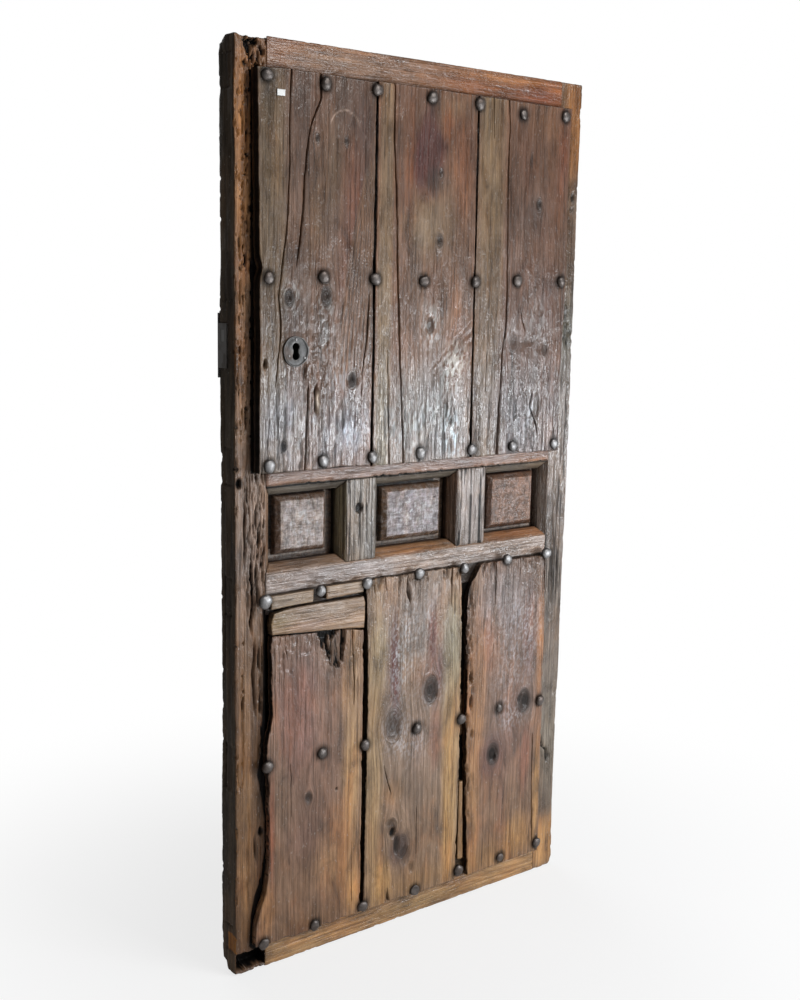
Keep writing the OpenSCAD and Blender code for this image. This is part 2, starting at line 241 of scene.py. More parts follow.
def blend_tints(base, blobs, x, z):
    """base: one tone. blobs: [cx, cz, rx, rz, tone, strength, power]."""
    c = np.tile(np.asarray(base, float), (len(x), 1))
    for b in blobs:
        cx, cz, rx, rz, tone, st = b[:6]
        pw = b[6] if len(b) > 6 else 1.0
        jx = 0.22 * rx * 2 * (fbm(x / max(rx, 8) * 1.7, z / max(rz, 8) * 1.7, int(abs(cx * 7 + cz)) % 997, 3) - 0.5)
        jz = 0.22 * rz * 2 * (fbm(x / max(rx, 8) * 1.9 + 5, z / max(rz, 8) * 1.9, int(abs(cx * 3 + cz)) % 991, 3) - 0.5)
        q = ((x - cx + jx) / rx) ** 2 + ((z - cz + jz) / rz) ** 2
        w = st * np.exp(-q ** pw)
        c = c * (1 - w[:, None]) + np.asarray(tone)[None] * w[:, None]
    return c


def dim(f, zs, ks, strip=None):
    """Scales a tint along the height; strip: (x0, x1, factor). Where the factors rise and turn cool, they paint the
    lamps' sheen into the colour.
    """
    ks = np.array(ks, float)

    def g(x, y, z, *a):
        k = np.stack([np.interp(z, zs, ks[:, i]) for i in range(3)], -1)
        if strip is not None:
            w = ss(strip[0] - 8, strip[0], x) * (1 - ss(strip[1], strip[1] + 8, x))
            k = k * (1 + (strip[2] - 1) * w)[:, None]
        return f(x, y, z, *a) * k
    return g


def painted_glints(c, x, z, spots, tone=(0.60, 0.60, 0.60), fine=5.0, long_=13.0, seed=850):
    """Painted highlights: milky, broken pale patches where the old wax glints. spots: [cx, cz, rx, rz, strength]."""
    n = ss(0.47, 0.60, fbm(x / fine, z / long_, seed, 4))
    for cx, cz, rx, rz, st in spots:
        w = st * np.exp(-(((x - cx) / rx) ** 2 + ((z - cz) / rz) ** 2)) * n
        c = c * (1 - w[:, None]) + np.asarray(tone)[None] * w[:, None]
    return c


def knot_flow(gx, gz, knots):
    """Bends the grain round knots: [kx, kz, r]. Returns gx, knot mask."""
    mask = np.zeros(len(gx))
    out = gx.copy()
    for k in knots:
        kx, kz, r = k[:3]
        dx = gx - kx
        dz = (gz - kz) * 0.62
        rr = dx * dx + dz * dz + 1e-6
        rho = np.sqrt(rr)
        ins = rho < r
        push = dx * (1 - (r * r) / np.maximum(rr, r * r) * 0.93)
        out = out + np.where(ins, 0, push - dx)
        # inside, rings: the across coordinate is the distance from the heart
        out = np.where(ins, kx + (rho / r - 1) * r * 1.6 + 0.15 * dx, out)
        mask = np.maximum(mask, (1 - ss(r * 0.75, r * 1.12, rho)) * (k[3] if len(k) > 3 else 1.0))
    return out, mask


def nail_stain(x, z, nails, r0=15.0, r1=27.0, drip=55.0):
    m = np.zeros(len(x))
    for nx_, nz_ in nails:
        d = np.hypot(x - nx_, z - nz_)
        m = np.maximum(m, 0.75 * (1 - ss(r0 - 3, r1, d)))
        below = (nz_ - z)
        s = np.exp(-((x - nx_) / 6.5) ** 2) * ss(0, 12, below) * (1 - ss(drip * 0.35, drip, below))
        m = np.maximum(m, 0.38 * s)
    return m


UPPER_NAILS = [
    (-417, 1872), (-279, 1869), (-150, 1871), (-4, 1870), (131, 1870), (263, 1860), (396, 1867),
    (-412, 1486), (-280, 1490), (-148, 1488), (-15, 1486), (132, 1487), (260, 1491), (400, 1491),
    (-409, 1109), (-277, 1111), (-148, 1111), (-16, 1111), (136, 1109), (262, 1109), (398, 1107)]
LOWER_NAILS = [
    (-414, 826), (-275, 831), (-152, 832), (-5, 835), (130, 831), (265, 836), (394, 837),
    (-408, 466), (-268, 467), (-152, 461), (-3, 470), (132, 465), (254, 469), (390, 463),
    (-416, 66), (-284, 69), (-152, 75), (1, 70), (136, 82), (272, 79), (396, 85)]


# ---------------------------------------------------------------- wood

def nd(nt, kind, loc, **kw):
    n = nt.nodes.new(kind)
    n.location = loc
    for k, v in kw.items():
        setattr(n, k, v)
    return n


def wood(name, mott=1.0, grain=1.0, rough=0.42, gloss=0.2, bump=1.0, warm=0.5, seed=0.0, coat=0.2, spec=0.5,
         lines=1.0, dark=1.0):
    """Weathered, waxed wood. The grain runs along the third number of the
    attribute gr; tint gives the tone, mk: dirt with painted shade, knot, wax, worn."""
    m = bpy.data.materials.new(name)
    m.use_nodes = True
    nt = m.node_tree
    nt.nodes.clear()
    L = nt.links.new
    out = nd(nt, "ShaderNodeOutputMaterial", (1700, 0))
    bs = nd(nt, "ShaderNodeBsdfPrincipled", (1400, 0))
    L(bs.outputs[0], out.inputs[0])
    gr = nd(nt, "ShaderNodeAttribute", (-1800, 200), attribute_name="gr")
    ti = nd(nt, "ShaderNodeAttribute", (-1800, -100), attribute_name="tint")
    mk = nd(nt, "ShaderNodeAttribute", (-1800, -400), attribute_name="mk")
    mks = nd(nt, "ShaderNodeSeparateColor", (-1600, -400))
    L(mk.outputs["Color"], mks.inputs[0])
    worn = mk.outputs["Alpha"]
    dirt_and_shade, knot, wax = mks.outputs[0], mks.outputs[1], mks.outputs[2]

    def scaled(sx, sy, sz, off=0.0, y=0):
        v = nd(nt, "ShaderNodeMapping", (-1500, y))
        v.inputs["Scale"].default_value = (sx, sy, sz)
        v.inputs["Location"].default_value = (off + seed, off * 0.7 + seed, off * 1.3)
        L(gr.outputs["Vector"], v.inputs["Vector"])
        return v.outputs[0]

    def noise(vec, detail=3.0, rough_=0.55, dist=0.0, y=0):
        n = nd(nt, "ShaderNodeTexNoise", (-1300, y))
        n.inputs["Scale"].default_value = 1.0
        n.inputs["Detail"].default_value = detail
        n.inputs["Roughness"].default_value = rough_
        n.inputs["Distortion"].default_value = dist
        L(vec, n.inputs["Vector"])
        return n.outputs["Fac"]

    def math_(op, a, b=None, c=None, y=0, clamp=False):
        n = nd(nt, "ShaderNodeMath", (-700, y), operation=op)
        n.use_clamp = clamp
        for i, v in enumerate((a, b, c)):
            if v is None:
                continue
            if isinstance(v, (int, float)):
                n.inputs[i].default_value = v
            else:
                L(v, n.inputs[i])
        return n.outputs[0]

    def ramp(fac, lo, hi, y=0):
        n = nd(nt, "ShaderNodeMapRange", (-900, y))
        n.interpolation_type = "SMOOTHSTEP"
        n.inputs["From Min"].default_value = lo
        n.inputs["From Max"].default_value = hi
        L(fac, n.inputs["Value"])
        return n.outputs["Result"]

    def mixc(fac, a, b, mode="MIX", y=0):
        n = nd(nt, "ShaderNodeMix", (300, y), data_type="RGBA", blend_type=mode)
        n.clamp_factor = True
        if isinstance(fac, (int, float)):
            n.inputs[0].default_value = fac
        else:
            L(fac, n.inputs[0])
        for i, v in ((6, a), (7, b)):
            if isinstance(v, (tuple, list)):
                n.inputs[i].default_value = v
            else:
                L(v, n.inputs[i])
        return n.outputs[2]

    f_mot = noise(scaled(25, 25, 9, 1.9), 6.0, 0.68, 0.6, 900)
    f_hue = noise(scaled(13, 13, 5.0, 4.3), 4.0, 0.6, 0.4, 800)
    f_gr = noise(scaled(150, 150, 3.8, 0.0), 6.0, 0.72, 0.25, 700)
    f_ln = noise(scaled(250, 250, 5.0, 3.1), 4.0, 0.65, 0.1, 600)
    f_iso = noise(scaled(340, 340, 210, 5.2), 4.0, 0.7, 0.0, 500)
    f_sp = noise(scaled(210, 210, 120, 8.4), 2.0, 0.5, 0.0, 400)
    f_big = noise(scaled(30, 30, 1.7, 7.7), 3.0, 0.55, 0.3, 300)
    f_wv = noise(scaled(60, 60, 22, 9.4), 2.0, 0.5, 0.4, 250)
    b_gr = noise(scaled(150, 150, 3.8, 0.0), 2.0, 0.55, 0.25, 200)
    b_fi = noise(scaled(460, 460, 10, 6.1), 1.0, 0.5, 0.0, 150)
    b_is = noise(scaled(280, 280, 190, 5.2), 2.0, 0.55, 0.0, 120)
    crk_ = nd(nt, "ShaderNodeTexVoronoi", (-1300, -100), feature="DISTANCE_TO_EDGE")
    crk_.inputs["Scale"].default_value = 1.0
    L(scaled(230, 230, 62, 2.4), crk_.inputs["Vector"])

    # annual rings: lines that follow the bent grain, unevenly spaced
    sep = nd(nt, "ShaderNodeSeparateXYZ", (-1500, -700))
    L(gr.outputs["Vector"], sep.inputs[0])
    ph = math_("MULTIPLY", sep.outputs[0], 700.0, y=-700)
    ph2 = math_("MULTIPLY_ADD", f_big, 34.0, ph, y=-800)
    ph3 = math_("MULTIPLY_ADD", sep.outputs[1], 330.0, ph2, y=-850)
    ring = math_("SINE", ph3, y=-900)
    ring01 = math_("MULTIPLY_ADD", ring, 0.5, 0.5, y=-950)
    ringp = math_("POWER", ring01, 3.0, y=-1000)

    # value of the tone
    m1 = ramp(f_mot, 0.32, 0.68, 900)
    vm = math_("MULTIPLY_ADD", m1, 0.62 * mott, 1 - 0.33 * mott, y=900)
    g1 = ramp(f_gr, 0.34, 0.66, 700)
    vg_ = math_("MULTIPLY_ADD", g1, 0.46 * grain, 1 - 0.26 * grain, y=700)
    ln = ramp(f_ln, 0.54, 0.66, 600)
    lnm = math_("MULTIPLY", ln, ramp(f_wv, 0.36, 0.62, 600), y=610)
    vl = math_("MULTIPLY_ADD", lnm, -0.62 * lines, 1.08, y=600)
    vr = math_("MULTIPLY_ADD", ringp, -0.20 * lines, 1.03, y=-900)
    va = math_("MULTIPLY", vm, vg_, y=1000)
    vb = math_("MULTIPLY", vl, vr, y=1050)
    vd = math_("MULTIPLY", va, vb, y=1100)
    comb = nd(nt, "ShaderNodeCombineColor", (0, 700))
    L(vd, comb.inputs[0])
    # darker grain also turns redder, paler grain greyer
    L(math_("POWER", vd, 1.10, y=1200), comb.inputs[1])
    L(math_("POWER", vd, 1.24, y=1250), comb.inputs[2])
    col = mixc(1.0, ti.outputs["Color"], comb.outputs[0], "MULTIPLY", 700)
    # warm and cool patches under the wax
    wf = math_("MULTIPLY", ramp(f_hue, 0.50, 0.66, 450), warm, y=450)
    col = mixc(wf, col, (1.24, 0.97, 0.70, 1), "MULTIPLY", 600)
    cf = math_("MULTIPLY", ramp(f_hue, 0.48, 0.34, 430), 0.75, y=430)
    col = mixc(cf, col, (0.80, 0.84, 0.88, 1), "MULTIPLY", 560)
    # soot-dark wax left in hollows
    sf = math_("MULTIPLY", ramp(f_mot, 0.43, 0.28, 420), 0.42 * dark, y=420)
    col = mixc(sf, col, (0.045, 0.032, 0.026, 1), "MIX", 540)
    # pale dust in the open pores of worn places
    worn_c = mixc(1.0, col, (1.8, 1.7, 1.55, 1), "MULTIPLY", 500)
    wq = math_("MULTIPLY", worn, g1, y=-300)
    wf2 = math_("MULTIPLY_ADD", wq, 0.75, math_("MULTIPLY", worn, 0.25), y=-330)
    col = mixc(wf2, col, worn_c, "MIX", 400)
    # pale flecks of dry wax, which also paint in the fine glints of the crackled wax
    fl = math_("MULTIPLY", ramp(f_sp, 0.66, 0.74, 50), 0.30, y=50)
    col = mixc(fl, col, (0.42, 0.38, 0.34, 1), "MIX", 350)
    # specks and worm holes
    spm = math_("MULTIPLY", ramp(f_iso, 0.66, 0.76, 60), 0.6, y=60)
    col = mixc(spm, col, (0.02, 0.014, 0.010, 1), "MIX", 320)
    # knots: dark, ringed, hard
    kn_c = mixc(ringp, (0.016, 0.011, 0.009, 1), (0.050, 0.034, 0.027, 1), "MIX", 300)
    kf = math_("MULTIPLY", knot, 0.90, y=-500)
    col = mixc(kf, col, kn_c, "MIX", 200)
    # dirt and painted shade: cracks, holes, seams and shadowed edges go near black
    dn = math_("MULTIPLY_ADD", g1, -0.22, math_("MULTIPLY", dirt_and_shade, 1.22), y=-420)
    dc = math_("MAXIMUM", dn, math_("MULTIPLY", dirt_and_shade, 0.84), clamp=True, y=-440)
    col = mixc(dc, col, (0.0050, 0.0040, 0.0034, 1), "MIX", 0)
    L(col, bs.inputs["Base Color"])

    # roughness: wax fills the grain in patches
    rn = math_("MULTIPLY_ADD", f_mot, 0.40, rough - 0.20, y=-1100)
    rn2 = math_("MULTIPLY_ADD", f_iso, 0.20, rn, y=-1150)
    rn2b = math_("ADD", rn2, -0.10, y=-1160)
    rn3 = math_("MULTIPLY_ADD", wax, -gloss, rn2b, y=-1200)
    rn3b = math_("MULTIPLY_ADD", knot, 0.10, rn3, y=-1210)
    rn4 = math_("MULTIPLY_ADD", dirt_and_shade, 0.45, rn3b, y=-1250)
    rn5 = math_("MAXIMUM", rn4, 0.15, y=-1260)
    rn6 = math_("MINIMUM", rn5, 0.95, y=-1270)
    L(rn6, bs.inputs["Roughness"])
    tn = mixc(dirt_and_shade, (1, 1, 1, 1), (0.02, 0.02, 0.02, 1), "MIX", -200)
    tn = mixc(knot, tn, (0.40, 0.38, 0.36, 1), "MIX", -300)
    L(tn, bs.inputs["Specular Tint"])
    bs.inputs["Coat Weight"].default_value = coat
    bs.inputs["Coat Roughness"].default_value = 0.16
    bs.inputs["Specular IOR Level"].default_value = spec

    # relief, in millimetres
    h1 = math_("MULTIPLY", b_gr, 1.7, y=-1400)
    h2 = math_("MULTIPLY_ADD", lnm, -0.40, h1, y=-1450)
    h3 = math_("MULTIPLY_ADD", ringp, -0.16, h2, y=-1500)
    h4 = math_("MULTIPLY_ADD", b_fi, 0.34, h3, y=-1530)
    h4 = math_("MULTIPLY_ADD", b_is, 0.50, h4, y=-1550)
    h5 = math_("MULTIPLY_ADD", f_wv, 2.6, h4, y=-1600)
    cr = ramp(crk_.outputs["Distance"], 0.0, 0.10, -1600)
    crw = math_("MULTIPLY", wax, 0.30, y=-1650)
    h6 = math_("MULTIPLY_ADD", cr, crw, h5, y=-1700)
    bp = nd(nt, "ShaderNodeBump", (1100, -600))
    bp.inputs["Strength"].default_value = 1.0
    bp.inputs["Distance"].default_value = 0.001 * bump
    L(h6, bp.inputs["Height"])
    L(bp.outputs[0], bs.inputs["Normal"])
    L(bp.outputs[0], bs.inputs["Coat Normal"])
    return m


def iron(name, base=(0.115, 0.11, 0.105), rough=0.42, rust=0.25, bump=0.5, metal=0.85, worn=(0.35, 0.34, 0.33)):
    """Hand-forged iron: dark scale, worn bright where mk's alpha is high."""
    m = bpy.data.materials.new(name)
    m.use_nodes = True
    nt = m.node_tree
    nt.nodes.clear()
    L = nt.links.new
    out = nd(nt, "ShaderNodeOutputMaterial", (1200, 0))
    bs = nd(nt, "ShaderNodeBsdfPrincipled", (900, 0))
    L(bs.outputs[0], out.inputs[0])
    tc = nd(nt, "ShaderNodeTexCoord", (-1200, 0))
    mk = nd(nt, "ShaderNodeAttribute", (-1200, -400), attribute_name="mk")
    mks = nd(nt, "ShaderNodeSeparateColor", (-1000, -400))
    L(mk.outputs["Color"], mks.inputs[0])

    def noise(s, d, y, r=0.6):
        n = nd(nt, "ShaderNodeTexNoise", (-900, y))
        n.inputs["Scale"].default_value = s
        n.inputs["Detail"].default_value = d
        n.inputs["Roughness"].default_value = r
        L(tc.outputs["Object"], n.inputs["Vector"])
        return n.outputs["Fac"]
    a = noise(70, 5, 300)
    b = noise(420, 3, 100)
    c = noise(25, 2, -100)
    cr = nd(nt, "ShaderNodeValToRGB", (-600, 300))
    cr.color_ramp.elements[0].position = 0.32
    cr.color_ramp.elements[0].color = (base[0] * 0.45, base[1] * 0.43, base[2] * 0.42, 1)
    cr.color_ramp.elements[1].position = 0.70
    cr.color_ramp.elements[1].color = (base[0] * 1.7, base[1] * 1.7, base[2] * 1.72, 1)
    L(a, cr.inputs[0])
    br = nd(nt, "ShaderNodeMix", (-200, 300), data_type="RGBA")
    L(mk.outputs["Alpha"], br.inputs[0])
    L(cr.outputs[0], br.inputs[6])
    br.inputs[7].default_value = (*worn, 1)
    rs = nd(nt, "ShaderNodeMapRange", (-600, 0))
    rs.interpolation_type = "SMOOTHSTEP"
    rs.inputs["From Min"].default_value = 0.50
    rs.inputs["From Max"].default_value = 0.68
    rs.inputs["To Max"].default_value = rust
    L(c, rs.inputs["Value"])
    ru = nd(nt, "ShaderNodeMix", (100, 300), data_type="RGBA")
    L(rs.outputs[0], ru.inputs[0])
    L(br.outputs[2], ru.inputs[6])
    ru.inputs[7].default_value = (0.050, 0.026, 0.015, 1)
    # mk's red turns the iron near black: grime with painted shade at nail rims against the wood, painted shade on the
    # keyhole's wall
    dk = nd(nt, "ShaderNodeMix", (350, 300), data_type="RGBA")
    L(mks.outputs[0], dk.inputs[0])
    L(ru.outputs[2], dk.inputs[6])
    dk.inputs[7].default_value = (0.012, 0.01, 0.009, 1)
    L(dk.outputs[2], bs.inputs["Base Color"])
    bs.inputs["Metallic"].default_value = metal
    ro = nd(nt, "ShaderNodeMath", (100, -100), operation="MULTIPLY_ADD")
    L(b, ro.inputs[0])
    ro.inputs[1].default_value = 0.28
    ro.inputs[2].default_value = rough - 0.14
    L(ro.outputs[0], bs.inputs["Roughness"])
    hh = nd(nt, "ShaderNodeMath", (100, -300), operation="MULTIPLY_ADD")
    L(b, hh.inputs[0])
    hh.inputs[1].default_value = 0.4
    L(a, hh.inputs[2])
    bp = nd(nt, "ShaderNodeBump", (500, -300))
    bp.inputs["Strength"].default_value = bump
    bp.inputs["Distance"].default_value = 0.0009
    L(hh.outputs[0], bp.inputs["Height"])
    L(bp.outputs[0], bs.inputs["Normal"])
    return m


MAT_UP = wood("wood_upper_boards", rough=0.42, gloss=0.20, seed=0.31, warm=0.45)
MAT_LO = wood("wood_lower_boards", rough=0.42, gloss=0.20, seed=4.2, warm=0.6)
MAT_FR = wood("wood_frame", rough=0.42, gloss=0.18, bump=1.1, seed=8.8, warm=0.5)
MAT_ST = wood("wood_stile", rough=0.50, gloss=0.12, bump=1.3, seed=2.9, warm=0.6, coat=0.1)
MAT_EDGE = wood("wood_edge", rough=0.72, gloss=0.0, bump=1.4, seed=3.7, warm=0.5, coat=0.0, spec=0.35)
MAT_PA = wood("wood_panels", rough=0.36, gloss=0.14, bump=1.0, seed=6.6, warm=0.3, coat=0.35, lines=0.6)
MAT_RE = wood("wood_patches", mott=0.7, rough=0.45, gloss=0.15, seed=5.5, warm=0.4, dark=0.6)
MAT_BK = wood("wood_back", mott=0.8, rough=0.68, gloss=0.0, seed=9.9, coat=0.0, spec=0.3, warm=0.4)
# on the nails, the paler iron goes on the rows that lie in the lamps' sheen, a painted highlight, and the duller,
# rustier iron on the other rows
MAT_NAIL = iron("iron_nails_bright", base=(0.190, 0.185, 0.182), rough=0.44, rust=0.25, metal=0.70, worn=(0.40, 0.39, 0.385))
MAT_NAIL_DK = iron("iron_nails_dull", base=(0.085, 0.072, 0.064), rough=0.42, rust=0.55, metal=0.55, worn=(0.15, 0.13, 0.12))
MAT_PLATE = iron("iron_plates", base=(0.040, 0.039, 0.038), rough=0.40, rust=0.45, metal=0.7, worn=(0.22, 0.21, 0.2))
MAT_LOCK = iron("iron_lock", base=(0.10, 0.095, 0.09), rough=0.40, rust=0.3)


def finish_piece(ob, node, mat, body="leaf"):
    ob.data.materials.clear()
    ob.data.materials.append(mat)
    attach(ob, body)
    if node:
        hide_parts(*( [node] if isinstance(node, str) else node))
    return ob


# ---------------------------------------------------------------- solids

def soft_edge(dist, r, k):
    return k * np.clip(1 - dist / r, 0, 1) ** 2


def piece(name, xs, ys, zs, warp, depth, grain, tint, marks, coarse=(0, 0), round_=2.2, chip=1.6,
          seed=0, decay=10.0):
    """A worn timber. xs, ys, zs: lattice lines. warp(x, y, z) gives the shape.
    depth: functions of the two other coordinates for each side, in millimetres
    into the wood. Edges are rounded and chipped."""
    I, J, K, faces = lattice(len(xs), len(ys), len(zs), coarse)
    x, y, z = xs[I], ys[J], zs[K]
    x0, x1, y0, y1, z0, z1 = xs[0], xs[-1], ys[0], ys[-1], zs[0], zs[-1]
    P = np.stack(warp(x, y, z), -1)
    d = {"l": x - x0, "r": x1 - x, "f": y - y0, "b": y1 - y, "d": z - z0, "u": z1 - z}
    nrm = {"l": (1, 0, 0), "r": (-1, 0, 0), "f": (0, 1, 0), "b": (0, -1, 0), "d": (0, 0, 1), "u": (0, 0, -1)}
    other = {"l": (P[:, 1], P[:, 2]), "r": (P[:, 1], P[:, 2]), "f": (P[:, 0], P[:, 2]),
             "b": (P[:, 0], P[:, 2]), "d": (P[:, 0], P[:, 1]), "u": (P[:, 0], P[:, 1])}
    off = np.zeros_like(P)
    pairs = [("f", "l", 2), ("f", "r", 2), ("f", "d", 0), ("f", "u", 0), ("b", "l", 2), ("b", "r", 2),
             ("b", "d", 0), ("b", "u", 0), ("l", "d", 1), ("l", "u", 1), ("r", "d", 1), ("r", "u", 1)]
    tot = {s: np.zeros(len(x)) for s in d}
    for s in d:
        w = np.clip(1 - d[s] / decay, 0, 1) ** 2
        if s in depth and depth[s] is not None:
            tot[s] += depth[s](*other[s]) * w
    for n_, (a, b, axis) in enumerate(pairs):
        s = P[:, axis]
        rr = round_ * (0.6 + 0.9 * fbm(s / 23.0, n_ * 3.3, seed + 40, 3))
        ch = chip * 3.2 * np.clip(fbm(s / 16.0, n_ * 5.1, seed + 60, 4) - 0.60, 0, 1) * 4.0
        k = (rr * 0.42 + ch)
        R = np.maximum(rr * 1.4 + ch * 1.6, 0.8)
        e = soft_edge(np.hypot(d[a], d[b]), R, 1.0) * k
        tot[a] += e * (d[a] < 1e-6)
        tot[b] += e * (d[b] < 1e-6)
    for s in d:
        off += np.array(nrm[s], float)[None] * tot[s][:, None]
    P2 = P + off
    side = np.full(len(x), "f")
    for s in ("b", "l", "r", "d", "u", "f"):
        side[d[s] < 1e-6] = s
    gr = np.stack(grain(P[:, 0], P[:, 1], P[:, 2]), -1) / 1000.0
    tn = tint(P[:, 0], P[:, 1], P[:, 2], side)
    mk = marks(P[:, 0], P[:, 1], P[:, 2], side, tot)
    return P2, faces, dict(gr=gr, tint=tn, mk=mk)


def along_z(x, y, z):
    return x, y, z


def along_x(x, y, z):
    return z, y, x


def mk4(n, dirt_and_shade=0.0, knot=0.0, wax=0.4, worn=0.0):
    out = np.zeros((n, 4))
    out[:, 0] = np.clip(dirt_and_shade, 0, 1)
    out[:, 1] = np.clip(knot, 0, 1)
    out[:, 2] = np.clip(wax, 0, 1)
    out[:, 3] = np.clip(worn, 0, 1)
    return out


def edge_wear(x, y, z, seed):
    return ss(0.52, 0.75, fbm(x / 40.0, z / 60.0, seed, 4))


# ---------------------------------------------------------------- boards

def board(name, node, mat, left, right, bottom, top, yf, yb, cracks, tint, knots=(),
          nails=(), holes=None, seed=0, res=(3.0, 4.2), ripple=0.8, wax=None, side_dirt_and_shade=0.35,
          left_dirt_and_shade=None, keyhole=None, ragged=1.0, weather=None):
    """A wide board. left, right: x(z). bottom, top: z(x). cracks: dicts with
    curve x(z), half(z) half width in mm, deep(z) depth in mm."""
    zb, zt = float(np.min(bottom(np.linspace(-480, 480, 97)))), float(np.max(top(np.linspace(-480, 480, 97))))
    zmid = np.linspace(zb, zt, 40)
    ctl = [dict(curve=left)] + list(cracks) + [dict(curve=right)]
    offs = np.array([-3.2, -1.7, -0.9, 0.0, 0.9, 1.7, 3.2])
    cols = []          # (interval, t) or (crack, offset)
    for j in range(len(ctl) - 1):
        w = float(np.mean(ctl[j + 1]["curve"](zmid) - ctl[j]["curve"](zmid)))
        n = max(2, int(round(w / res[0])))
        ts = np.linspace(0, 1, n + 1)
        extra = []
        if j == 0:
            extra += [1.0 / w, 2.4 / w, 4.5 / w]
        if j == len(ctl) - 2:
            extra += [1 - 1.0 / w, 1 - 2.4 / w, 1 - 4.5 / w]
        ts = np.unique(np.r_[ts, extra])
        keep = [ts[0]]
        for t in ts[1:]:
            if (t - keep[-1]) * w > 0.7:
                keep.append(t)
        keep[-1] = 1.0
        ts = np.array(keep)
        if j > 0:
            ts = ts[1:]
        if j < len(ctl) - 2:
            ts = ts[:-1]
        for t in ts:
            cols.append(("i", j, t))
        if j < len(ctl) - 2:
            for o in offs:
                cols.append(("c", j + 1, o))
    nx = len(cols)
    rows = refine(spaced(0, 1, res[1] / (zt - zb)), []) if False else spaced(0, 1, res[1] / (zt - zb))
    rows = np.unique(np.r_[rows, 1.2 / (zt - zb), 3 / (zt - zb), 1 - 1.2 / (zt - zb), 1 - 3 / (zt - zb)])
    nz = len(rows)
    ys = np.array([yf, yf + 1.2, yf + 3.5, yf + 8, yf + (yb - yf) * 0.62, yb])
    ny = len(ys)
    I, J, K, faces = lattice(nx, ny, nz, (7, 6))
    # x position of each column at each row
    zrow = zb + (zt - zb) * rows
    X = np.zeros((nx, nz))
    Cx = [c["curve"](zrow) for c in ctl]
    Hf = [None] + [np.maximum(c["half"](zrow), 0.35) for c in cracks] + [None]
    crackd = np.zeros((nx, nz))
    crackm = np.zeros((nx, nz))
    for i, (kind, j, t) in enumerate(cols):
        if kind == "i":
            a = Cx[j] + (3.2 * Hf[j] if 0 < j else 0)
            b = Cx[j + 1] - (3.2 * Hf[j + 1] if j + 1 < len(ctl) - 1 else 0)
            X[i] = a + (b - a) * t
        else:
            X[i] = Cx[j] + t * Hf[j]
            act = cracks[j - 1]["deep"](zrow)
            prof = {0.0: 1.0, 0.9: 0.82, 1.7: 0.10, 3.2: 0.0}[abs(round(float(t), 1))]
            crackd[i] = act * prof
            crackm[i] = np.clip(act / 2.0, 0, 1) * {0.0: 1.0, 0.9: 0.9, 1.7: 0.12, 3.2: 0.0}[abs(round(float(t), 1))]
    x = X[I, K]
    zt_x = top(x)
    zb_x = bottom(x)
    z = zb_x + (zt_x - zb_x) * rows[K]
    y = ys[J].astype(float)
    front = J == 0
    dl = x - left(z)
    dr = right(z) - x
    dd = z - zb_x
    du = zt_x - z
    fdist = y - yf
    # relief of the face
    g, kmask = knot_flow(x, z, knots)
    rip = (fbm(g / 7.5, z / 95.0, seed + 1, 3) - 0.5) * 2.0 * ripple
    und = (fbm(x / 70.0, z / 190.0, seed + 2, 3) - 0.5) * 3.0
    D = 1.1 + rip + und + crackd[I, K]
    D = D + (fbm(g / 3.0, z / 120.0, seed + 11, 2) - 0.5) * 0.7 * ripple
    D = np.maximum(D, 0.05)
    hole_m = np.zeros(len(x))
    if weather is not None:
        wv = weather(x, z)
        ck = ss(0.60, 0.68, fbm(g / 3.1, z / 75.0, seed + 12, 3)) * wv
        D = D + 1.5 * ck
        # the checks darken, grime with painted shade in them
        hole_m = np.maximum(hole_m, 0.62 * ck)
    if holes is not None:
        hd, hm = holes(x, z)
        D = D + hd
        hole_m = np.maximum(hole_m, hm)
    if keyhole is not None:
        kx, kz = keyhole
        q = np.maximum(np.abs(x - kx) / 9.0, np.abs(z - kz) / 20.0)
        kd = 1 - ss(0.75, 1.05, q)
        D = D + 16 * kd
        # the keyhole's recess is painted black, its shade
        hole_m = np.maximum(hole_m, 1 - ss(1.0, 1.4, q))
        # the plate beds flat on the wood
        fl = 1 - ss(30, 40, np.hypot(x - kx, z - kz + 0))
        D = D * (1 - fl * (1 - kd)) + 0.3 * fl * (1 - kd)
    # worn, chipped arrises
    emin = np.minimum(np.minimum(dl, dr), np.minimum(dd, du))
    s_along = np.where(np.minimum(dl, dr) < np.minimum(dd, du), z, x)
    nn = np.where(dl < dr, 1.7, 6.3)
    er = 1.0 + 2.4 * ragged * fbm(s_along / 30.0, nn, seed + 5, 3)
    chp = np.clip(fbm(s_along / 21.0, nn + 2, seed + 6, 4) - 0.58, 0, 1) * 26.0 * ragged
    edge = soft_edge(emin, er + chp * 1.3, 1.0) * (er * 0.45 + chp)
    D = D + edge
    thick = (yb - yf)
    D = np.minimum(D, thick - 1.5)
    w = np.clip(1 - fdist / 9.0, 0, 1) ** 2
    wdeep = np.clip(1 - fdist / (thick - 0.5), 0, 1)
    Y = y + D * np.where(D > 5, wdeep, w)
    Y = np.minimum(Y, yb - 0.2 * (1 - J / (ny - 1)))
    Y = np.where(J == ny - 1, yb, Y)
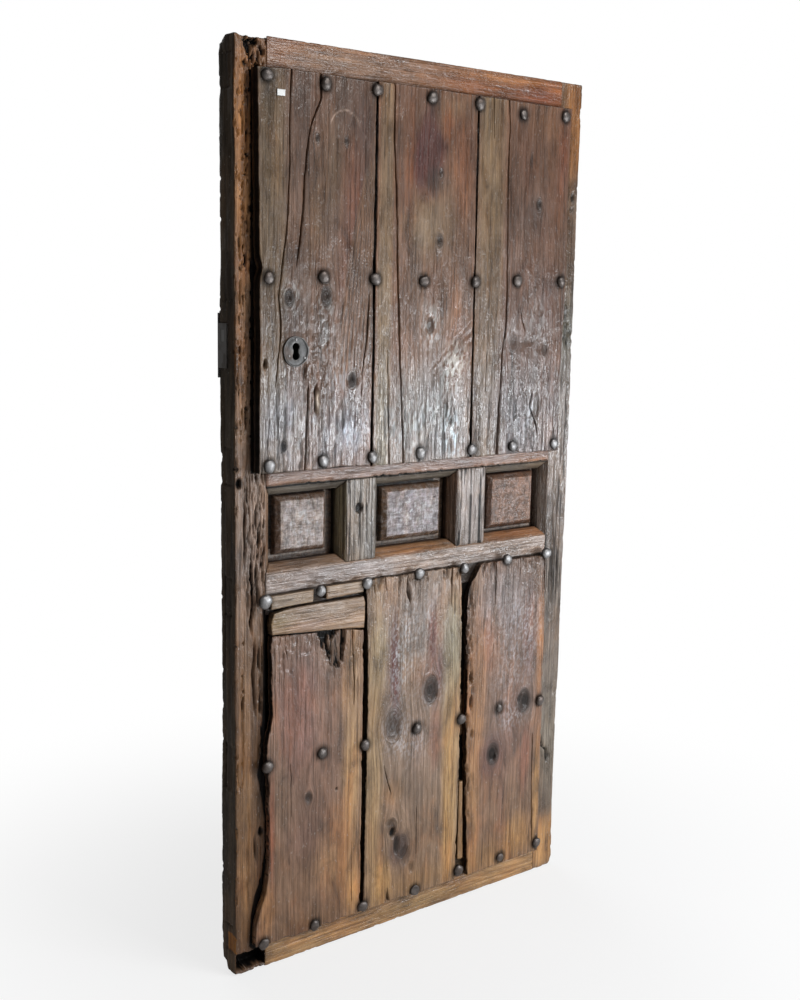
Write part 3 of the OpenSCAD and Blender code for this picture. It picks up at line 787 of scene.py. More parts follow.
    # ragged sides: the edge is pulled in a little, by more where it's chipped
    pull = (0.2 + 1.5 * ragged * fbm(z / 17.0, 2.2, seed + 7, 4) + 0.2 * chp)
    Xo = x + np.where(dl < 1e-6, pull, 0)
    Xo = Xo - np.where(dr < 1e-6, pull, 0)
    P = np.stack([Xo, Y, z], -1)
    gr = np.stack([g + seed * 31.0, Y, z], -1) / 1000.0
    tn = tint(x, Y, z)
    bk = J == ny - 1                        # the back is plain, dry and dusty
    tn = np.where(bk[:, None], 0.18 * tn + 0.82 * lin(98, 82, 66)[None] * (0.75 + 0.5 * fbm(x / 40.0, z / 160.0, seed + 21, 3))[:, None], tn)
    # dirt and painted shade: cracks, holes and the keyhole go dark, the face darkens at its outline where the seams
    # fall into shade, and the side faces in the seams are darkened as their shade; nails stain round their heads
    dirt_and_shade = crackm[I, K].copy()
    dirt_and_shade = np.maximum(dirt_and_shade, hole_m)
    dirt_and_shade = np.maximum(dirt_and_shade, nail_stain(x, z, nails) * front)
    dirt_and_shade = np.maximum(dirt_and_shade, (1 - ss(0.0, 3.5, emin)) * 0.30 * front)
    onside = (~front) & (J < ny - 1)
    dirt_and_shade = np.where(onside, np.maximum(dirt_and_shade, side_dirt_and_shade), dirt_and_shade)
    if left_dirt_and_shade is not None:
        ld = left_dirt_and_shade(z) if callable(left_dirt_and_shade) else left_dirt_and_shade
        dirt_and_shade = np.where(onside & (dl < 1e-6), ld if callable(left_dirt_and_shade) else np.maximum(dirt_and_shade, ld), dirt_and_shade)
    wx = np.full(len(x), 0.45) if wax is None else wax(x, z)
    wx = np.where(bk, 0.05, wx)
    worn = 0.35 * (1 - ss(0.5, 7.0, emin)) * ss(0.45, 0.7, fbm(s_along / 15.0, nn, seed + 11, 3))
    mk = mk4(len(x), dirt_and_shade, kmask, wx, worn)
    ob = make_object(name, P, faces, dict(gr=gr, tint=tn, mk=mk))
    return finish_piece(ob, node, mat)


def crk(pts, spans, wob=1.2, seed=0, scale=24.0):
    """A crack that follows pts. spans: [z_low, z_high, half_mm, deep_mm, taper_mm]."""
    f = curve(pts, wob, seed, scale)

    def amount(z, idx):
        z = np.asarray(z, float)
        v = np.zeros_like(z)
        for s in spans:
            lo, hi, half, deep = s[:4]
            tp = s[4] if len(s) > 4 else 30.0
            lo_t = s[5] if len(s) > 5 else tp
            e = ss(lo - 1, lo + lo_t, z) * (1 - ss(hi - tp, hi + 1, z))
            if idx == 0:
                val = e * half * (0.65 + 0.7 * fbm(z / 28.0, 1.3, seed + 3, 3))
            else:
                val = ss(0.02, 0.35, e) * deep * (0.7 + 0.6 * fbm(z / 22.0, 4.3, seed + 4, 3))
            v = np.maximum(v, val)
        return v
    return dict(curve=f, half=lambda z: amount(z, 0), deep=lambda z: amount(z, 1))


# tones
OLIVE = lin(122, 101, 78)
SAP = lin(128, 108, 85)
BROWN = lin(112, 85, 69)
MAUVE = lin(108, 86, 76)
DKBR = lin(84, 62, 50)
REDBR = lin(112, 74, 56)
PURPLE = lin(84, 55, 47)
ORANGE = lin(148, 98, 60)
GREY = lin(122, 108, 98)
TAN = lin(158, 122, 86)
YTAN = lin(168, 134, 92)
BLACKBR = lin(40, 34, 29)
# DARKSIDE is the closing edge's face: dark wood, with its shade painted in
DARKSIDE = lin(82, 72, 62)


def up_weather(x, z):
    return 1 - 0.8 * ss(1160, 1340, z)


def up_wax(x, z):
    """The wax is thickest near the foot of the upper boards."""
    a = 0.35 + 0.5 * (1 - ss(1230, 1420, z))
    return a * (0.55 + 0.7 * fbm(x / 35.0, z / 50.0, 77, 3))


# upper left board
def tint_ub1(x, y, z):
    c = blend_tints(BROWN, [
        (-405, 1500, 34, 900, OLIVE, 0.85, 2),
        (-330, 1750, 36, 160, MAUVE, 0.6),
        (-215, 1450, 55, 240, lin(128, 98, 82), 0.7),
        (-205, 1780, 50, 110, DKBR, 0.45),
        (-180, 1620, 24, 160, REDBR, 0.2),
        (-225, 1500, 18, 130, lin(124, 84, 64), 0.6),
        # the grey, cool tones near the foot paint the lamps' silvery sheen into the colour
        (-330, 1150, 110, 90, lin(118, 104, 96), 0.75),
        (-410, 1180, 30, 120, GREY, 0.5),
        (-350, 1400, 40, 60, lin(118, 96, 84), 0.5),
        (-375, 1147, 6, 16, BLACKBR, 0.9, 2),
        (-290, 1233, 4.0, 24, lin(224, 198, 172), 0.95, 3),
        (-330, 1845, 30, 50, lin(92, 74, 66), 0.7),
        (-240, 1845, 60, 50, lin(96, 76, 66), 0.65),
        (-300, 1600, 26, 110, lin(122, 92, 66), 0.6),
        (-200, 1560, 30, 200, lin(108, 66, 52), 0.6),
        (-255, 1700, 20, 80, lin(104, 84, 62), 0.5),
        (-180, 1800, 20, 80, lin(86, 64, 58), 0.6),
        (-420, 1780, 20, 110, lin(96, 82, 62), 0.5),
        (-395, 1700, 14, 60, lin(120, 90, 58), 0.6),
        # more grey tones near the foot: painted sheen
        (-230, 1180, 60, 60, lin(124, 118, 120), 0.75),
        (-370, 1200, 50, 60, lin(118, 112, 112), 0.7),
    ], x, z)
    q = np.hypot(x + 229, (z - 1786)) - 37
    w = 0.75 * np.exp(-(q / 1.5) ** 2) * ss(1788, 1804, z) * (0.5 + 0.7 * fbm(x / 5.0, z / 5.0, 83, 2))
    # flame of rings towards the right edge
    t = np.clip((1745 - z) / 500.0, 0, 1) ** 0.7
    u = (-142 - x) / (16 + 118 * t)
    fm = ss(1262, 1330, z) * (1 - ss(1690, 1745, z)) * ss(-0.02, 0.06, u) * (1 - ss(0.80, 1.0, u))
    fl = 0.5 + 0.5 * np.sin(2 * np.pi * (11 * u + 1.3 * fbm(x / 30.0, z / 160.0, 84, 3)))
    c = c * (1 - 0.75 * fm[:, None]) + lin(140, 106, 82)[None] * (0.75 * fm)[:, None]
    c = c * (1 - 0.55 * fm * fl)[:, None]
    # painted highlights where the wax glints
    c = painted_glints(c, x, z, [(-357, 1452, 26, 30, 0.55), (-276, 1430, 20, 40, 0.6), (-275, 1352, 14, 26, 0.6), (-262, 1396, 18, 18, 0.4),
                        (-336, 1185, 60, 70, 0.30), (-215, 1190, 60, 70, 0.34), (-240, 1290, 60, 30, 0.3)])
    return c * (1 - w[:, None]) + lin(186, 160, 146)[None] * w[:, None]


A_ = crk([(-359, 1893), (-362, 1843), (-364, 1779), (-363, 1716), (-368, 1590), (-379, 1514), (-388, 1449),
          (-382, 1393), (-387, 1342), (-396, 1264), (-398, 1090)],
         [(1255, 1895, 0.8, 6.5, 6, 90)], 1.4, 11)
B_ = crk([(-290, 1893), (-288, 1839), (-312, 1791), (-319, 1761), (-327, 1686), (-331, 1615), (-339, 1548),
          (-347, 1507), (-342, 1440), (-330, 1330), (-314, 1267), (-316, 1216), (-320, 1145), (-323, 1088)],
         [(1500, 1895, 1.1, 9, 5, 60), (1086, 1275, 1.3, 10, 30, 5)], 1.6, 23)
G_ = crk([(-168, 1893), (-160, 1600), (-162, 1459), (-168, 1355), (-180, 1284), (-176, 1088)],
         [(1282, 1462, 0.6, 4, 30, 30)], 1.0, 31)


def holes_ub1(x, z):
    d = np.zeros(len(x))
    m = np.zeros(len(x))

    def pit(cx, cz, rx, rz, dep, dark, jag=0.25):
        nonlocal d, m
        j = 1 + jag * 2 * (fbm(x / rx * 1.5, z / rz * 1.5, int(abs(cx + cz)) % 900, 3) - 0.5)
        q = np.hypot((x - cx) / rx, (z - cz) / rz) * j
        e = 1 - ss(0.70, 1.15, q)
        d = np.maximum(d, dep * e)
        m = np.maximum(m, dark * (1 - ss(0.55, 1.1, q)))
    # each pit darkens by its dark value, grime with painted shade in the hollow; the gash goes black
    pit(-294, 1238, 7.5, 30, 13, 1.0)
    sl = np.exp(-((x + 290 + (z - 1236) * 0.05) / 2.6) ** 4 - ((z - 1232) / 22) ** 4)
    d = d * (1 - 0.93 * sl)
    m = m * (1 - sl)
    pit(-420, 1316, 4, 9, 10, 1.0)
    pit(-374, 1147, 5, 14, 4, 0.8)
    pit(-203, 1278, 7, 10, 3, 0.55)
    pit(-325, 1300, 4, 22, 4, 0.5)
    pit(-362, 1447, 6, 8, 2, 0.35)
    pit(-272, 1450, 7, 9, 2, 0.35)
    pit(-297, 1763, 5, 6, 1.5, 0.4)
    pit(-226, 1763, 5, 6, 1.5, 0.4)
    for kx, kz, kr in ((-362, 1447, 24), (-272, 1450, 26), (-203, 1278, 16)):
        q = np.hypot(x - kx, (z - kz) * 0.8)
        w = 1 - ss(kr * 0.6, kr, q)
        d += w * 1.7 * (0.5 + 0.5 * np.sin(q / 1.75 + 3 * fbm(x / 8.0, z / 8.0, 119, 3)))
    # rings standing in the flame
    t = np.clip((1745 - z) / 500.0, 0, 1) ** 0.7
    u = (-142 - x) / (16 + 118 * t)
    fm = ss(1262, 1330, z) * (1 - ss(1690, 1745, z)) * ss(-0.02, 0.06, u) * (1 - ss(0.80, 1.0, u))
    d += 0.9 * fm * (0.5 + 0.5 * np.sin(2 * np.pi * (11 * u + 1.3 * fbm(x / 30.0, z / 160.0, 84, 3))))
    # flaked wax round the keyhole and the gash
    fl = np.exp(-((x + 300) / 40) ** 2 - ((z - 1320) / 90) ** 2)
    d += 2.6 * fl * ss(0.50, 0.62, fbm(x / 7.0, z / 9.0, 118, 4))
    return d, m


# lighter and cooler at the foot: the lamps' sheen painted into the colour
tint_ub1 = dim(tint_ub1, [1095, 1200, 1330, 1450, 1600, 1880],
               [(1.30, 1.48, 1.70), (1.22, 1.36, 1.52), (0.80, 0.80, 0.79), (0.70, 0.70, 0.67), (0.78, 0.78, 0.74), (0.82, 0.80, 0.74)],
               strip=(-440, -372, 0.88))
board("upper_board_left_worn", "upper_board_left", MAT_UP,
      curve([(-438, 1890), (-435, 1654), (-433, 1524), (-424, 1506), (-433, 1487), (-432, 1364), (-432, 1088)], 1.2, 5),
      curve([(-151, 1890), (-152, 1600), (-152.5, 1088)], 0.8, 6),
      zcurve([(-440, 1095), (-330, 1094), (-221, 1096), (-150, 1092)], 1.2, 7),
      zcurve([(-440, 1886), (-360, 1889), (-274, 1889), (-150, 1886)], 1.0, 8),
      -UT, 0, [A_, B_, G_], tint_ub1,
      knots=[(-362, 1447, 13), (-272, 1450, 15), (-203, 1278, 12), (-297, 1763, 7, .7), (-226, 1763, 7, .7), (-372, 1147, 7, .6)],
      nails=UPPER_NAILS, holes=holes_ub1, seed=101, wax=up_wax, left_dirt_and_shade=0.97, side_dirt_and_shade=0.9, keyhole=(-348, 1340), ragged=0.35,
      weather=up_weather, res=(2.4, 3.6))


# upper middle board
def tint_ub2(x, y, z):
    return blend_tints(lin(117, 88, 70), [
        (-122, 1500, 20, 900, SAP, 0.9, 3),
        (-8, 1748, 50, 84, lin(82, 46, 37), 0.97, 4),
        (14, 1702, 32, 30, lin(56, 38, 40), 0.95, 2),
        (-8, 1780, 22, 70, lin(96, 62, 56), 0.8, 2),
        (-5, 1845, 12, 36, lin(84, 56, 50), 0.85),
        (43, 1825, 13, 44, lin(158, 104, 70), 0.8, 2),
        (86, 1700, 26, 130, lin(148, 104, 74), 0.75, 2),
        (-64, 1760, 14, 90, lin(146, 104, 76), 0.6, 2),
        (-3, 1605, 66, 52, lin(158, 138, 112), 0.75, 2),
        (-55, 1780, 10, 90, lin(130, 84, 56), 0.6),
        (77, 1430, 16, 74, lin(142, 102, 76), 0.8, 2),
        (85, 1700, 20, 110, lin(128, 84, 54), 0.6),
        (-20, 1600, 50, 60, lin(134, 114, 92), 0.7),
        (-60, 1570, 12, 90, lin(86, 72, 60), 0.5),
        (45, 1640, 20, 60, lin(128, 104, 78), 0.5),
        (50, 1600, 60, 120, lin(124, 102, 84), 0.5),
        (-60, 1650, 16, 150, REDBR, 0.35),
        (95, 1750, 25, 120, REDBR, 0.35),
        (30, 1390, 34, 60, lin(128, 100, 82), 0.6),
        (95, 1340, 36, 60, lin(110, 78, 62), 0.55),
        # the grey tones near the foot paint the lamps' silvery sheen into the colour
        (20, 1180, 130, 110, lin(126, 118, 116), 0.85),
        (-30, 1260, 40, 60, lin(132, 122, 118), 0.6),
        (60, 1860, 50, 24, OLIVE, 0.5),
        (-35, 1520, 24, 90, lin(118, 96, 78), 0.4),
    ], x, z)


C_ = crk([(-103, 1893), (-102, 1755), (-93, 1641), (-88, 1506), (-81, 1388), (-73, 1270), (-63, 1088)],
         [(1086, 1895, 1.0, 8, 4, 4)], 1.5, 43)
E_ = crk([(-127, 1893), (-122, 1500), (-112, 1350), (-101, 1086)], [(1086, 1352, 0.6, 5, 50, 4)], 1.2, 47)


def holes_ub2(x, z):
    # rippled burl in the lower right of the board, and glossy knots
    d = np.zeros(len(x))
    m = np.zeros(len(x))
    u = (x - 77) * 0.76 + (z - 1338) * 0.65
    v = -(x - 77) * 0.65 + (z - 1338) * 0.76
    e = np.exp(-(u / 62) ** 2 - (v / 24) ** 2)
    d += 2.4 * e * (0.5 + 0.5 * np.sin(v / 2.6 + 5 * fbm(x / 18.0, z / 18.0, 52, 3)))
    for cx, cz, rx, rz, dep, dk in ((6, 1390, 9, 20, 2.5, 0.35), (26, 1573, 6, 7, 2, 0.6), (27, 1717, 5, 6, 2, 0.5),
                                    (72, 1178, 5, 8, 2.5, 0.5), (55, 1205, 6, 20, 3.5, 0.4), (70, 1120, 5, 14, 2.5, 0.4)):
        q = np.hypot((x - cx) / rx, (z - cz) / rz)
        d = np.maximum(d, dep * (1 - ss(0.6, 1.2, q)))
        m = np.maximum(m, dk * (1 - ss(0.5, 1.1, q)))
    return d, m


tint_ub2_ = tint_ub2


def tint_ub2(x, y, z):
    # painted highlights where the wax glints
    return painted_glints(tint_ub2_(x, y, z), x, z, [(9, 1392, 24, 44, 0.7), (83, 1325, 30, 34, 0.65), (66, 1282, 26, 34, 0.8), (75, 1150, 26, 44, 0.8),
                                            (30, 1200, 50, 50, 0.35), (-60, 1180, 60, 70, 0.3)])


# lighter and cooler at the foot: the lamps' sheen painted into the colour
tint_ub2 = dim(tint_ub2, [1095, 1200, 1330, 1450, 1600, 1750, 1880],
               [(1.22, 1.42, 1.52), (1.12, 1.26, 1.30), (0.84, 0.84, 0.81), (0.80, 0.78, 0.74), (0.78, 0.72, 0.66),
                (0.72, 0.64, 0.58), (0.75, 0.67, 0.60)], strip=(-152, -104, 1.16))
board("upper_board_middle_worn", "upper_board_middle", MAT_UP,
      curve([(-145.5, 1890), (-147, 1500), (-147, 1088)], 0.8, 15),
      curve([(128.5, 1890), (128, 1600), (129.5, 1088)], 0.8, 16),
      zcurve([(-150, 1091), (0, 1091), (130, 1092)], 1.2, 17),
      zcurve([(-147, 1889), (0, 1889), (130, 1888)], 1.0, 18),
      -UT, 0, [E_, C_], tint_ub2,
      knots=[(6, 1390, 13, .6), (26, 1573, 10, .8), (27, 1717, 8, .6), (72, 1178, 9, .5), (90, 1345, 18, .25)],
      nails=UPPER_NAILS, holes=holes_ub2, seed=202, wax=up_wax, side_dirt_and_shade=0.9, ragged=0.3, weather=up_weather, res=(2.4, 3.6))


# upper right board
def tint_ub3(x, y, z):
    return blend_tints(lin(114, 86, 70), [
        (172, 1500, 42, 900, lin(126, 104, 80), 0.9, 3),
        (300, 1800, 90, 90, lin(108, 78, 62), 0.6),
        (310, 1500, 90, 90, lin(120, 94, 80), 0.4),
        (350, 1650, 30, 90, REDBR, 0.35),
        (395, 1500, 20, 200, lin(122, 90, 68), 0.5),
        (250, 1700, 18, 120, lin(100, 76, 62), 0.4),
        # the grey tone near the foot paints the lamps' silvery sheen into the colour
        (290, 1180, 140, 110, lin(116, 106, 104), 0.85),
        (300, 1640, 60, 60, lin(96, 78, 70), 0.6),
        (250, 1560, 24, 90, lin(104, 84, 74), 0.5),
        (395, 1780, 18, 110, lin(122, 74, 56), 0.7),
        (330, 1840, 60, 30, lin(122, 88, 66), 0.6),
        (280, 1740, 24, 80, lin(88, 62, 50), 0.6),
        (360, 1450, 30, 80, lin(112, 78, 64), 0.6),
        (375, 1250, 26, 60, lin(116, 82, 68), 0.5),
    ], x, z)


D0 = crk([(174, 1893), (178, 1798), (174, 1500), (172, 1088)], [(1795, 1893, 0.4, 2.5, 5, 30), (1230, 1330, 0.35, 2, 30, 30)], 0.8, 53)
D_ = crk([(218, 1893), (224, 1826), (223, 1725), (226, 1602), (230, 1466), (229, 1377), (221, 1327), (219, 1238),
          (214, 1150), (213, 1088)], [(1200, 1893, 0.9, 8, 4, 60), (1086, 1260, 1.7, 12, 60, 4)], 1.5, 57)
F_ = crk([(262, 1893), (270, 1440), (274, 1427), (282, 1395), (292, 1377), (302, 1300), (321, 1234), (314, 1197),
          (332, 1165), (341, 1129), (345, 1088)],
         [(1376, 1430, 0.7, 5, 14, 12), (1128, 1236, 1.1, 7, 14, 20)], 1.6, 61)


def holes_ub3(x, z):
    d = np.zeros(len(x))
    m = np.zeros(len(x))
    for cx, cz, rx, rz, dep, dk in ((321, 1665, 7, 9, 2.5, 0.5), (256, 1350, 9, 10, 2, 0.35), (356, 1332, 8, 11, 2, 0.35),
                                    (300, 1352, 24, 8, 1.5, 0.2), (335, 1200, 9, 30, 3.5, 0.3)):
        q = np.hypot((x - cx) / rx, (z - cz) / rz)
        d = np.maximum(d, dep * (1 - ss(0.6, 1.2, q)))
        m = np.maximum(m, dk * (1 - ss(0.5, 1.1, q)))
    e = np.exp(-((x - 310) / 75) ** 2 - ((z - 1345) / 34) ** 2)
    d += 1.6 * e * fbm(x / 9.0, z / 8.0, 66, 3)
    return d, m


tint_ub3_ = tint_ub3


def tint_ub3(x, y, z):
    # painted highlights where the wax glints
    return painted_glints(tint_ub3_(x, y, z), x, z, [(236, 1370, 24, 22, 0.5), (330, 1400, 40, 40, 0.45), (326, 1200, 16, 60, 0.6), (280, 1160, 60, 50, 0.3)])


# lighter and cooler at the foot: the lamps' sheen painted into the colour
tint_ub3 = dim(tint_ub3, [1095, 1250, 1400, 1600, 1750, 1880],
               [(0.88, 0.95, 1.02), (0.72, 0.73, 0.74), (0.58, 0.55, 0.53), (0.72, 0.71, 0.68), (0.76, 0.74, 0.69), (0.78, 0.76, 0.70)],
               strip=(134, 215, 1.08))
board("upper_board_right_worn", "upper_board_right", MAT_UP,
      curve([(132.5, 1890), (133.5, 1500), (134.5, 1088)], 0.8, 25),
      curve([(418, 1890), (416, 1817), (415, 1713), (417, 1598), (417, 1468), (415, 1390), (411, 1233), (413.5, 1088)], 1.0, 26),
      zcurve([(130, 1091), (300, 1091), (420, 1089)], 1.2, 27),
      zcurve([(130, 1888), (300, 1887), (420, 1887)], 1.0, 28),
      -UT, 0, [D0, D_, F_], tint_ub3,
      knots=[(321, 1665, 11, .7), (256, 1350, 13, .5), (356, 1332, 13, .5)],
      nails=UPPER_NAILS, holes=holes_ub3, seed=303, wax=up_wax, side_dirt_and_shade=0.9, ragged=0.3, weather=up_weather, res=(2.4, 3.6))


def lo_wax(x, z):
    return (0.30 + 0.35 * ss(380, 640, z)) * (0.5 + 0.8 * fbm(x / 30.0, z / 40.0, 88, 3))


# lower left board
def tint_lb1(x, y, z):
    return blend_tints(lin(122, 95, 78), [
        (-185, 480, 26, 330, lin(152, 122, 92), 0.85, 2),
        (-320, 640, 60, 110, lin(118, 96, 88), 0.7),
        (-300, 420, 70, 150, lin(118, 90, 76), 0.6),
        (-375, 300, 30, 200, lin(128, 104, 84), 0.5),
        (-300, 200, 90, 100, lin(126, 98, 76), 0.6),
        (-180, 180, 30, 120, lin(142, 112, 84), 0.6),
        (-302, 372, 14, 12, lin(86, 68, 58), 0.8),
        (-300, 80, 120, 30, lin(112, 84, 58), 0.5),
        (-260, 530, 30, 60, lin(132, 100, 84), 0.5),
        (-240, 700, 30, 40, lin(120, 98, 78), 0.5),
        (-335, 560, 54, 120, lin(126, 92, 82), 0.7, 2),
        (-225, 230, 58, 110, lin(150, 114, 80), 0.6, 2),
        (-188, 400, 22, 120, lin(166, 130, 90), 0.65, 2),
        (-408, 140, 22, 60, lin(156, 112, 74), 0.7, 2),
        (-180, 120, 20, 50, lin(196, 146, 92), 0.6),
        (-300, 280, 60, 60, lin(112, 86, 78), 0.5),
        (-396, 330, 8, 120, lin(134, 78, 56), 0.6, 2),
        (-205, 600, 14, 50, lin(146, 106, 70), 0.6),
    ], x, z)


BRK = dict(pts=[(-288, 760), (-281, 738), (-272, 706), (-262, 690), (-254, 672), (-240, 660), (-224, 657), (-214, 668),
                (-212, 700), (-206, 727), (-205, 760)])


def in_poly(px, pz, poly):
    inside = np.zeros(len(px), bool)
    n = len(poly)
    for i in range(n):
        x1, z1 = poly[i]
        x2, z2 = poly[(i + 1) % n]
        c = ((z1 > pz) != (z2 > pz)) & (px < (x2 - x1) * (pz - z1) / (z2 - z1 + 1e-9) + x1)
        inside ^= c
    return inside


def poly_dist(px, pz, poly):
    """Signed distance to an outline, positive inside."""
    best = np.full(len(px), 1e9)
    n = len(poly)
    for i in range(n):
        x1, z1 = poly[i]
        x2, z2 = poly[(i + 1) % n]
        dx, dz = x2 - x1, z2 - z1
        t = np.clip(((px - x1) * dx + (pz - z1) * dz) / (dx * dx + dz * dz + 1e-9), 0, 1)
        best = np.minimum(best, np.hypot(px - x1 - t * dx, pz - z1 - t * dz))
    return np.where(in_poly(px, pz, poly), best, -best)


def holes_lb1(x, z):
    # the broken head: painted black at the left as the shade of the open hole, splintered remains at the right
    jx = 5 * 2 * (fbm(x / 4.0, z / 26.0, 91, 3) - 0.5)
    jz = 13 * 2 * (fbm(x / 3.2, z / 60.0, 92, 3) - 0.5)
    sd = poly_dist(x + jx, z + jz, BRK["pts"])
    dark = poly_dist(x + jx, z + jz, [(-290, 770), (-281, 736), (-268, 704), (-258, 690), (-246, 668), (-240, 690),
                                       (-244, 712), (-232, 728), (-215, 736), (-212, 770)])
    fib = fbm(x / 3.0, z / 70.0, 93, 3)
    # splinters hanging into the black
    spl = np.exp(-((x + 262 - (z - 720) * 0.05) / 4.5) ** 4) * ss(696, 708, z) + np.exp(-((x + 248) / 3.0) ** 4) * ss(690, 700, z) * (1 - ss(728, 736, z))
    dark = dark - 7 * np.clip(spl, 0, 1)
    d = ss(-0.5, 2.0, sd) * (5.0 + 6.0 * fib) + ss(-0.5, 2.2, dark) * 8.0
    m = ss(-0.5, 1.8, dark) * 1.0
    m = np.maximum(m, ss(-1, 2, sd) * (0.15 + 0.9 * ss(0.50, 0.58, fib)))
    # knots and a small hole
    for cx, cz, rx, rz, dep, dk in ((-227, 375, 3.2, 4, 5, 0.95), (-302, 372, 9, 8, 1.5, 0.35)):
        q = np.hypot((x - cx) / rx, (z - cz) / rz)
        d = np.maximum(d, dep * (1 - ss(0.6, 1.2, q)))
        m = np.maximum(m, dk * (1 - ss(0.5, 1.1, q)))
    # flaked face below the break
    fl = ss(600, 720, z) * ss(0.56, 0.66, fbm(x / 12.0, z / 14.0, 94, 4))
    d += 1.8 * fl
    return d, m


lb1_left = curve([(-436, 58), (-436, 95), (-431, 126), (-424, 150), (-411, 180), (-405, 215), (-402, 279), (-403, 369),
                  (-401, 430), (-408, 470), (-408, 515), (-401, 545), (-393, 575), (-397, 612), (-398, 700), (-398, 752)], 2.6, 35, 22)
X1a = crk([(-365, 752), (-360, 700), (-352, 560), (-345, 300), (-340, 55)], [(690, 752, 0.5, 4, 6, 30), (330, 470, 0.35, 2, 40, 40)], 1.6, 71)
X1b = crk([(-190, 752), (-183, 640), (-186, 420), (-182, 55)], [(560, 752, 0.7, 5, 6, 70), (90, 250, 0.4, 2.5, 40, 20)], 1.6, 73)
board("lower_board_left_worn", "lower_board_left", MAT_LO,
      lb1_left, curve([(-158.5, 58), (-157.5, 400), (-158.5, 752)], 1.0, 36),
      zcurve([(-440, 64), (-400, 62), (-333, 60), (-250, 62), (-157, 63)], 1.8, 37),
      zcurve([(-440, 748), (-398, 748), (-290, 741), (-211, 736), (-157, 727)], 1.0, 38),
      -LT, 0, [X1a, X1b], tint_lb1, knots=[(-302, 372, 11, .6)],
      nails=LOWER_NAILS, holes=holes_lb1, seed=404, wax=lo_wax, side_dirt_and_shade=0.85, left_dirt_and_shade=lambda z: 0.25 + 0.68 * ss(330, 460, z), ragged=0.8, res=(2.0, 3.0), weather=lambda x, z: 0.5 * ss(500, 640, z))


# lower middle board
def tint_lb2(x, y, z):
    return blend_tints(lin(140, 115, 94), [
        (-125, 450, 26, 420, YTAN, 0.75, 2),
        (110, 350, 26, 300, YTAN, 0.75, 2),
        # the grey tone at the top paints the lamps' sheen into the colour
        (20, 720, 100, 110, lin(138, 122, 112), 0.75),
        (-72, 630, 12, 80, lin(118, 62, 54), 0.75),
        (42, 660, 14, 80, lin(116, 64, 54), 0.7),
        (38, 555, 34, 46, lin(98, 76, 66), 0.8),
        (-71, 490, 36, 52, lin(104, 88, 78), 0.8),
        (30, 600, 40, 40, lin(128, 90, 70), 0.5),
        (10, 400, 60, 90, lin(140, 116, 98), 0.5),
        (0, 250, 40, 110, lin(128, 102, 82), 0.6),
        (90, 470, 30, 60, lin(150, 118, 82), 0.5),
        (0, 90, 150, 40, lin(132, 98, 58), 0.55),
        (110, 620, 20, 120, lin(146, 122, 88), 0.6),
        (-120, 760, 30, 60, lin(130, 106, 88), 0.5),
        (-72, 650, 13, 90, lin(88, 54, 50), 0.75, 2),
        (-63, 560, 10, 50, lin(112, 62, 58), 0.8),
        (40, 680, 12, 60, lin(100, 62, 56), 0.75, 2),
        (62, 600, 12, 50, lin(104, 64, 58), 0.7),
        (54, 440, 18, 80, lin(132, 84, 66), 0.55, 2),
        (100, 640, 26, 150, lin(150, 138, 112), 0.65, 2),
        (97, 330, 20, 250, lin(178, 138, 88), 0.7, 2),
        (-72, 330, 34, 30, lin(158, 120, 84), 0.55, 2),
        (-96, 120, 26, 60, lin(176, 136, 86), 0.7, 2),
        (-118, 660, 24, 100, lin(158, 134, 98), 0.6, 2),
        (-48, 184, 30, 44, lin(96, 80, 76), 0.85, 2),
        (0, 430, 30, 70, lin(126, 100, 86), 0.5),
    ], x, z)


X2a = crk([(-101, 845), (-97, 800), (-98, 560), (-97, 397), (-75, 325), (-84, 150), (-80, 88), (-76, 55)],
          [(806, 845, 0.9, 8, 4, 26), (320, 402, 0.8, 5, 24, 20), (55, 96, 1.8, 14, 26, 3)], 1.6, 83)
X2b = crk([(-38, 845), (-34, 800), (-28, 770), (-24, 600), (-10, 400), (1, 277), (4, 155), (6, 55)],
          [(766, 846, 3.2, 17, 50, 30), (150, 282, 0.6, 4, 40, 40)], 1.3, 87)
X2c = crk([(96, 845), (92, 700), (96, 500), (92, 300), (96, 55)], [(740, 845, 0.6, 5, 4, 60), (120, 260, 0.4, 2.5, 50, 50)], 1.6, 89)


def holes_lb2(x, z):
    d = np.zeros(len(x))
    m = np.zeros(len(x))
    for cx, cz, rx, rz, dep, dk in ((38, 555, 17, 19, 2.0, 0.55), (48, 541, 11, 13, 3.0, 0.5), (-71, 490, 20, 27, 1.6, 0.30),
                                    (-66, 230, 9, 13, 8, 1.0), (-55, 200, 9, 30, 3.5, 0.65), (-30, 165, 16, 26, 2.5, 0.45),
                                    (-10, 130, 9, 14, 3.0, 0.5), (-60, 474, 8, 12, 2.5, 0.4), (-78, 258, 14, 10, 2, 0.4)):
        jj = 1 + 0.5 * (fbm(x / rx, z / rz, int(abs(cx * 3 + cz)), 3) - 0.5)
        q = np.hypot((x - cx) / rx, (z - cz) / rz) * jj
        d = np.maximum(d, dep * (1 - ss(0.6, 1.2, q)))
        m = np.maximum(m, dk * (1 - ss(0.5, 1.15, q)))
    # eaten head
    hd = ss(790, 838, z) * ss(0.55, 0.68, fbm(x / 10.0, z / 40.0, 98, 3))
    d += 7 * hd
    m = np.maximum(m, 0.7 * hd)
    return d, m


tint_lb2_ = tint_lb2


def tint_lb2(x, y, z):
    # painted highlights where the wax glints
    return painted_glints(tint_lb2_(x, y, z), x, z, [(-10, 700, 90, 90, 0.30), (-71, 490, 40, 50, 0.28), (38, 555, 40, 40, 0.25), (-60, 620, 24, 80, 0.45),
                                            (-20, 440, 50, 40, 0.3)], fine=3.2, long_=5.0, seed=870)


